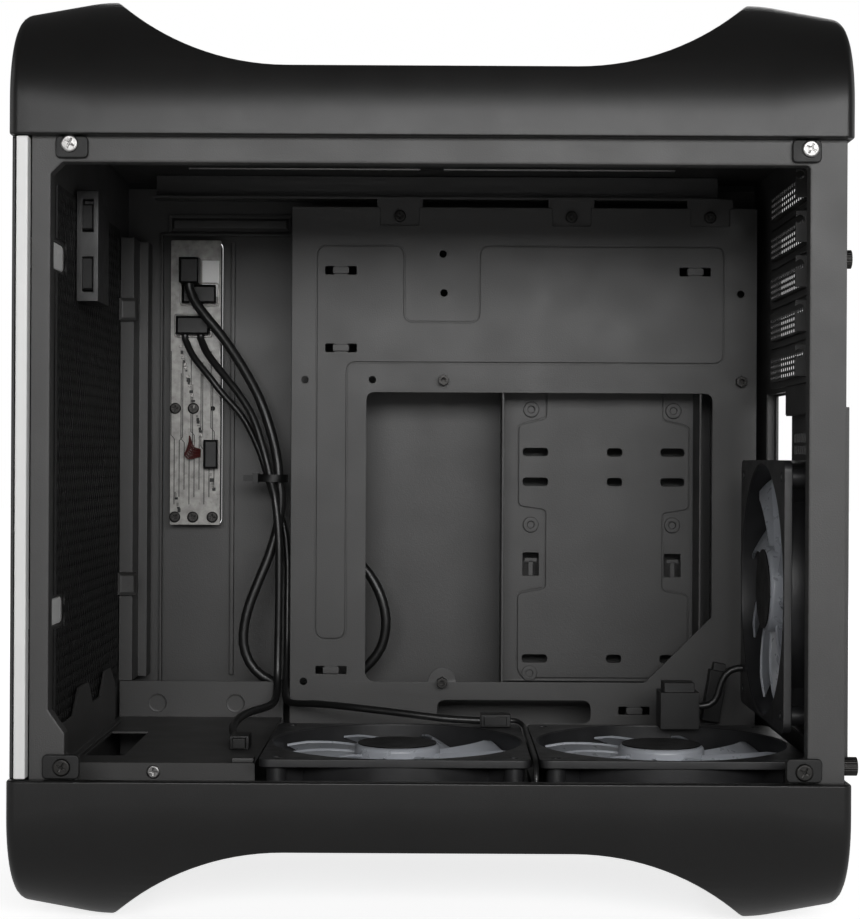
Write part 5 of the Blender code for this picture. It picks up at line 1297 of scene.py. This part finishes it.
def make_small_fittings(screw):
    """Screws on the board, the beam and the shelf, and the clips and pressings near them."""
    spots = [(-0.14035, 0.2310), (-0.13055, 0.2310), (-0.14035, 0.1722), (-0.13055, 0.1722),
             (-0.12005, 0.1722)]
    for index, (x, z) in enumerate(spots):
        place = Matrix.Translation((x, BOARD_FACE, z)) @ Matrix.Rotation(0.4 * index, 4, "Y")
        put_screw(screw, f"board_screw_{index + 1}", place, "black_screw")
    for index, x in enumerate(BEAM_TABS):
        spot = (x, 0.0722, 0.3310)
        place = Matrix.Translation(spot) @ Matrix.Rotation(0.3 * index, 4, "Y")
        put_screw(screw, f"beam_cross_screw_{index + 1}", place, "black_screw")
    put_screw(screw, "shelf_screw", Matrix.Translation((-0.1250, -0.0781, 0.0640)), "zinc_screw")
    for index, z in enumerate((0.2820, 0.1380)):
        clip = block(f"post_clip_{index + 1}", (-0.1660, 0.0768, z - 0.0060),
                     (-0.1558, 0.0798, z + 0.0060))
        press(clip, (0, -1, 0), (0.0016, -0.0014))
        ease(clip, 0.0005, 2)
        dress(shade(clip), "painted_steel")
    rail = block("upper_rail", (-0.1450, 0.1148, 0.3262), (-0.0780, 0.1173, 0.3364))
    press(rail, (0, -1, 0), (0.0016, -0.0014), (0.0014, 0.0014))
    ease(rail, 0.0004, 2)
    dress(shade(rail), "painted_steel")
    # Dark blocks in the two socket openings, in the darkest black finish: partly black plastic,
    # partly painted shade inside the sockets
    for index, (low, high) in enumerate(((0.3090, 0.3208), (0.2814, 0.2964))):
        well = block(f"socket_well_{index + 1}", (-0.1632, -0.0512, low), (-0.1577, -0.0498, high))
        press(well, (0, -1, 0), (0.0007, -0.0011))
        ease(well, 0.0001, 1)
        dress(shade(well), "black_plastic", finish="black_and_painted_shade")
    spare = block("spare_connector", (0.1410, 0.0614, 0.0690), (0.1500, 0.0700, 0.0955))
    press(spare, (0, 0, 1), (0.0012, 0), (0.0002, 0.0040))
    spare.data.transform(Matrix.Translation((0.1455, 0.0657, 0.0820))
                         @ Matrix.Rotation(0.17, 4, "Y")
                         @ Matrix.Translation((-0.1455, -0.0657, -0.0820)))
    ease(spare, 0.0004, 2)
    dress(shade(spare), "black_plastic", finish="plug_black")
    step = block("shelf_step", (-0.0902, -0.0780, 0.0681), (-0.0804, -0.0700, 0.0702))
    ease(step, 0.0004, 2)
    dress(shade(step), "painted_steel")
    for index, x in enumerate((-0.1450, -0.1040)):
        dimple = bar(f"plate_dimple_{index + 1}", (x, 0.0805, 0.0752), 0.0048, 0.0012, "Y", 40)
        press(dimple, (0, -1, 0), (0.0012, -0.0005))
        ease(dimple, 0.0003, 2)
        dress(shade(dimple), "painted_steel")


# Whole case


def finish_nodes():
    """Give each node's own slots their finishes."""
    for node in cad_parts.values():
        for place in node.material_slots:
            place.material = FINISHES[place.material.name.split(".")[0]]


# Studio


def make_world():
    world = bpy.data.worlds.new("studio")
    bpy.context.scene.world = world
    world.use_nodes = True
    nodes = world.node_tree.nodes
    links = world.node_tree.links
    nodes.clear()
    out = nodes.new("ShaderNodeOutputWorld")
    seen = nodes.new("ShaderNodeBackground")
    seen.inputs["Color"].default_value = (1, 1, 1, 1)
    seen.inputs["Strength"].default_value = 1.0
    fill = nodes.new("ShaderNodeBackground")
    fill.inputs["Color"].default_value = (1, 0.99, 0.98, 1)
    fill.inputs["Strength"].default_value = 0.05
    rays = nodes.new("ShaderNodeLightPath").outputs
    seen_direct = sum_node(world, "MAXIMUM", rays["Is Camera Ray"], rays["Is Transmission Ray"])
    place = nodes.new("ShaderNodeTexCoord")
    split = nodes.new("ShaderNodeSeparateXYZ")
    links.new(place.outputs["Generated"], split.inputs["Vector"])
    height = reach_node(world, split.outputs["Z"], 0.05, 0.45, 0.5, 0.03)
    wall = sum_node(world, "MULTIPLY", rays["Is Glossy Ray"], height)
    mix = nodes.new("ShaderNodeMixShader")
    links.new(sum_node(world, "MAXIMUM", seen_direct, wall), mix.inputs["Fac"])
    links.new(fill.outputs[0], mix.inputs[1])
    links.new(seen.outputs[0], mix.inputs[2])
    links.new(mix.outputs[0], out.inputs["Surface"])


def make_floor():
    put_down()
    bpy.ops.mesh.primitive_plane_add(size=14, location=(0, 0, -0.0002))
    floor = placed("studio_floor")
    material = bpy.data.materials.new("pale_floor")
    material.use_nodes = True
    nodes = material.node_tree.nodes
    links = material.node_tree.links
    nodes.clear()
    out = nodes.new("ShaderNodeOutputMaterial")
    paint = nodes.new("ShaderNodeBsdfDiffuse")
    paint.inputs["Color"].default_value = (0.8, 0.8, 0.8, 1)
    glow = nodes.new("ShaderNodeEmission")
    rays = nodes.new("ShaderNodeLightPath").outputs
    seen_direct = sum_node(material, "MAXIMUM", rays["Is Camera Ray"], rays["Is Transmission Ray"])
    place = nodes.new("ShaderNodeTexCoord")
    away = nodes.new("ShaderNodeVectorMath")
    away.operation = "LENGTH"
    links.new(place.outputs["Object"], away.inputs[0])
    fade = reach_node(material, away.outputs["Value"], 0.45, 1.6, 0.78, 1.0)
    share = sum_node(material, "MULTIPLY", seen_direct, fade)
    glossy = sum_node(material, "MULTIPLY", rays["Is Glossy Ray"], 0.2)
    links.new(sum_node(material, "MAXIMUM", share, glossy), glow.inputs["Strength"])
    add = nodes.new("ShaderNodeAddShader")
    links.new(paint.outputs[0], add.inputs[0])
    links.new(glow.outputs[0], add.inputs[1])
    links.new(add.outputs[0], out.inputs["Surface"])
    floor.data.materials.append(material)


def make_lamp(name, place, aim, width, height, power):
    data = bpy.data.lights.new(name, "AREA")
    data.shape = "RECTANGLE"
    data.size = width
    data.size_y = height
    data.energy = power
    lamp = put_in_scene(name, data)
    lamp.location = place
    lamp.rotation_euler = (Vector(aim) - Vector(place)).to_track_quat("-Z", "Y").to_euler()
    lamp.visible_camera = False


def make_lights():
    make_lamp("front_softbox", (0.24, -1.72, 0.58), (0.0, -0.05, 0.25), 1.5, 0.38, 19.0)
    make_lamp("left_fill", (-1.8, -0.2, 0.8), (0, 0, 0.2), 1.2, 1.2, 4.0)
    make_lamp("right_fill", (1.8, 0.3, 0.8), (0, 0, 0.2), 1.2, 1.2, 4.0)
    make_lamp("rear_fill", (0.2, 1.9, 1.0), (0, 0, 0.2), 1.4, 1.0, 9.0)


make_handle("top_loop", "top_handle", 1, 0.150)
make_handle("bottom_loop", "bottom_handle", -1, 0.157)
make_front()
make_near_frame()
make_tray()
make_fans()
cross_screw = model_cross_screw()
make_corners(cross_screw)
make_small_fittings(cross_screw)
throw_away(cross_screw)
make_thumbscrew("upper_thumbscrew")
make_thumbscrew("lower_thumbscrew")
make_slot_covers()
make_drive_carrier()
make_air_mesh()
make_far_cover()
make_control_board()
for softened in ("far_frame", "front_wall", "rear_panel", "top_deck", "floor_pan", "far_front_post",
                 "lower_far_plate", "front_platform", "lower_front_bracket", "top_beam"):
    soften(softened, "painted_steel", FINE_EDGES.get(softened, 0.00025))
for softened in ("io_bezel", "audio_jack_1", "audio_jack_2", "fan_hub"):
    soften(softened, "black_plastic", 0.0003)
for softened in ("usb_plug", "panel_plug", "audio_plug", "rear_fan_plug"):
    soften(softened, "black_plastic", 0.0003, finish="plug_black")
soften("cable_tie", "black_plastic", 0.00003, 1, finish="plug_black")
for softened in ("usb_port_1", "usb_port_2"):
    soften(softened, "port_metal", 0.00012)
soften("power_button", "black_plastic", 0.0005, 3, "power")
soften("reset_button", "black_plastic", 0.0004, 3, "reset")
finish_nodes()
make_world()
make_floor()
make_lights()

put_down()
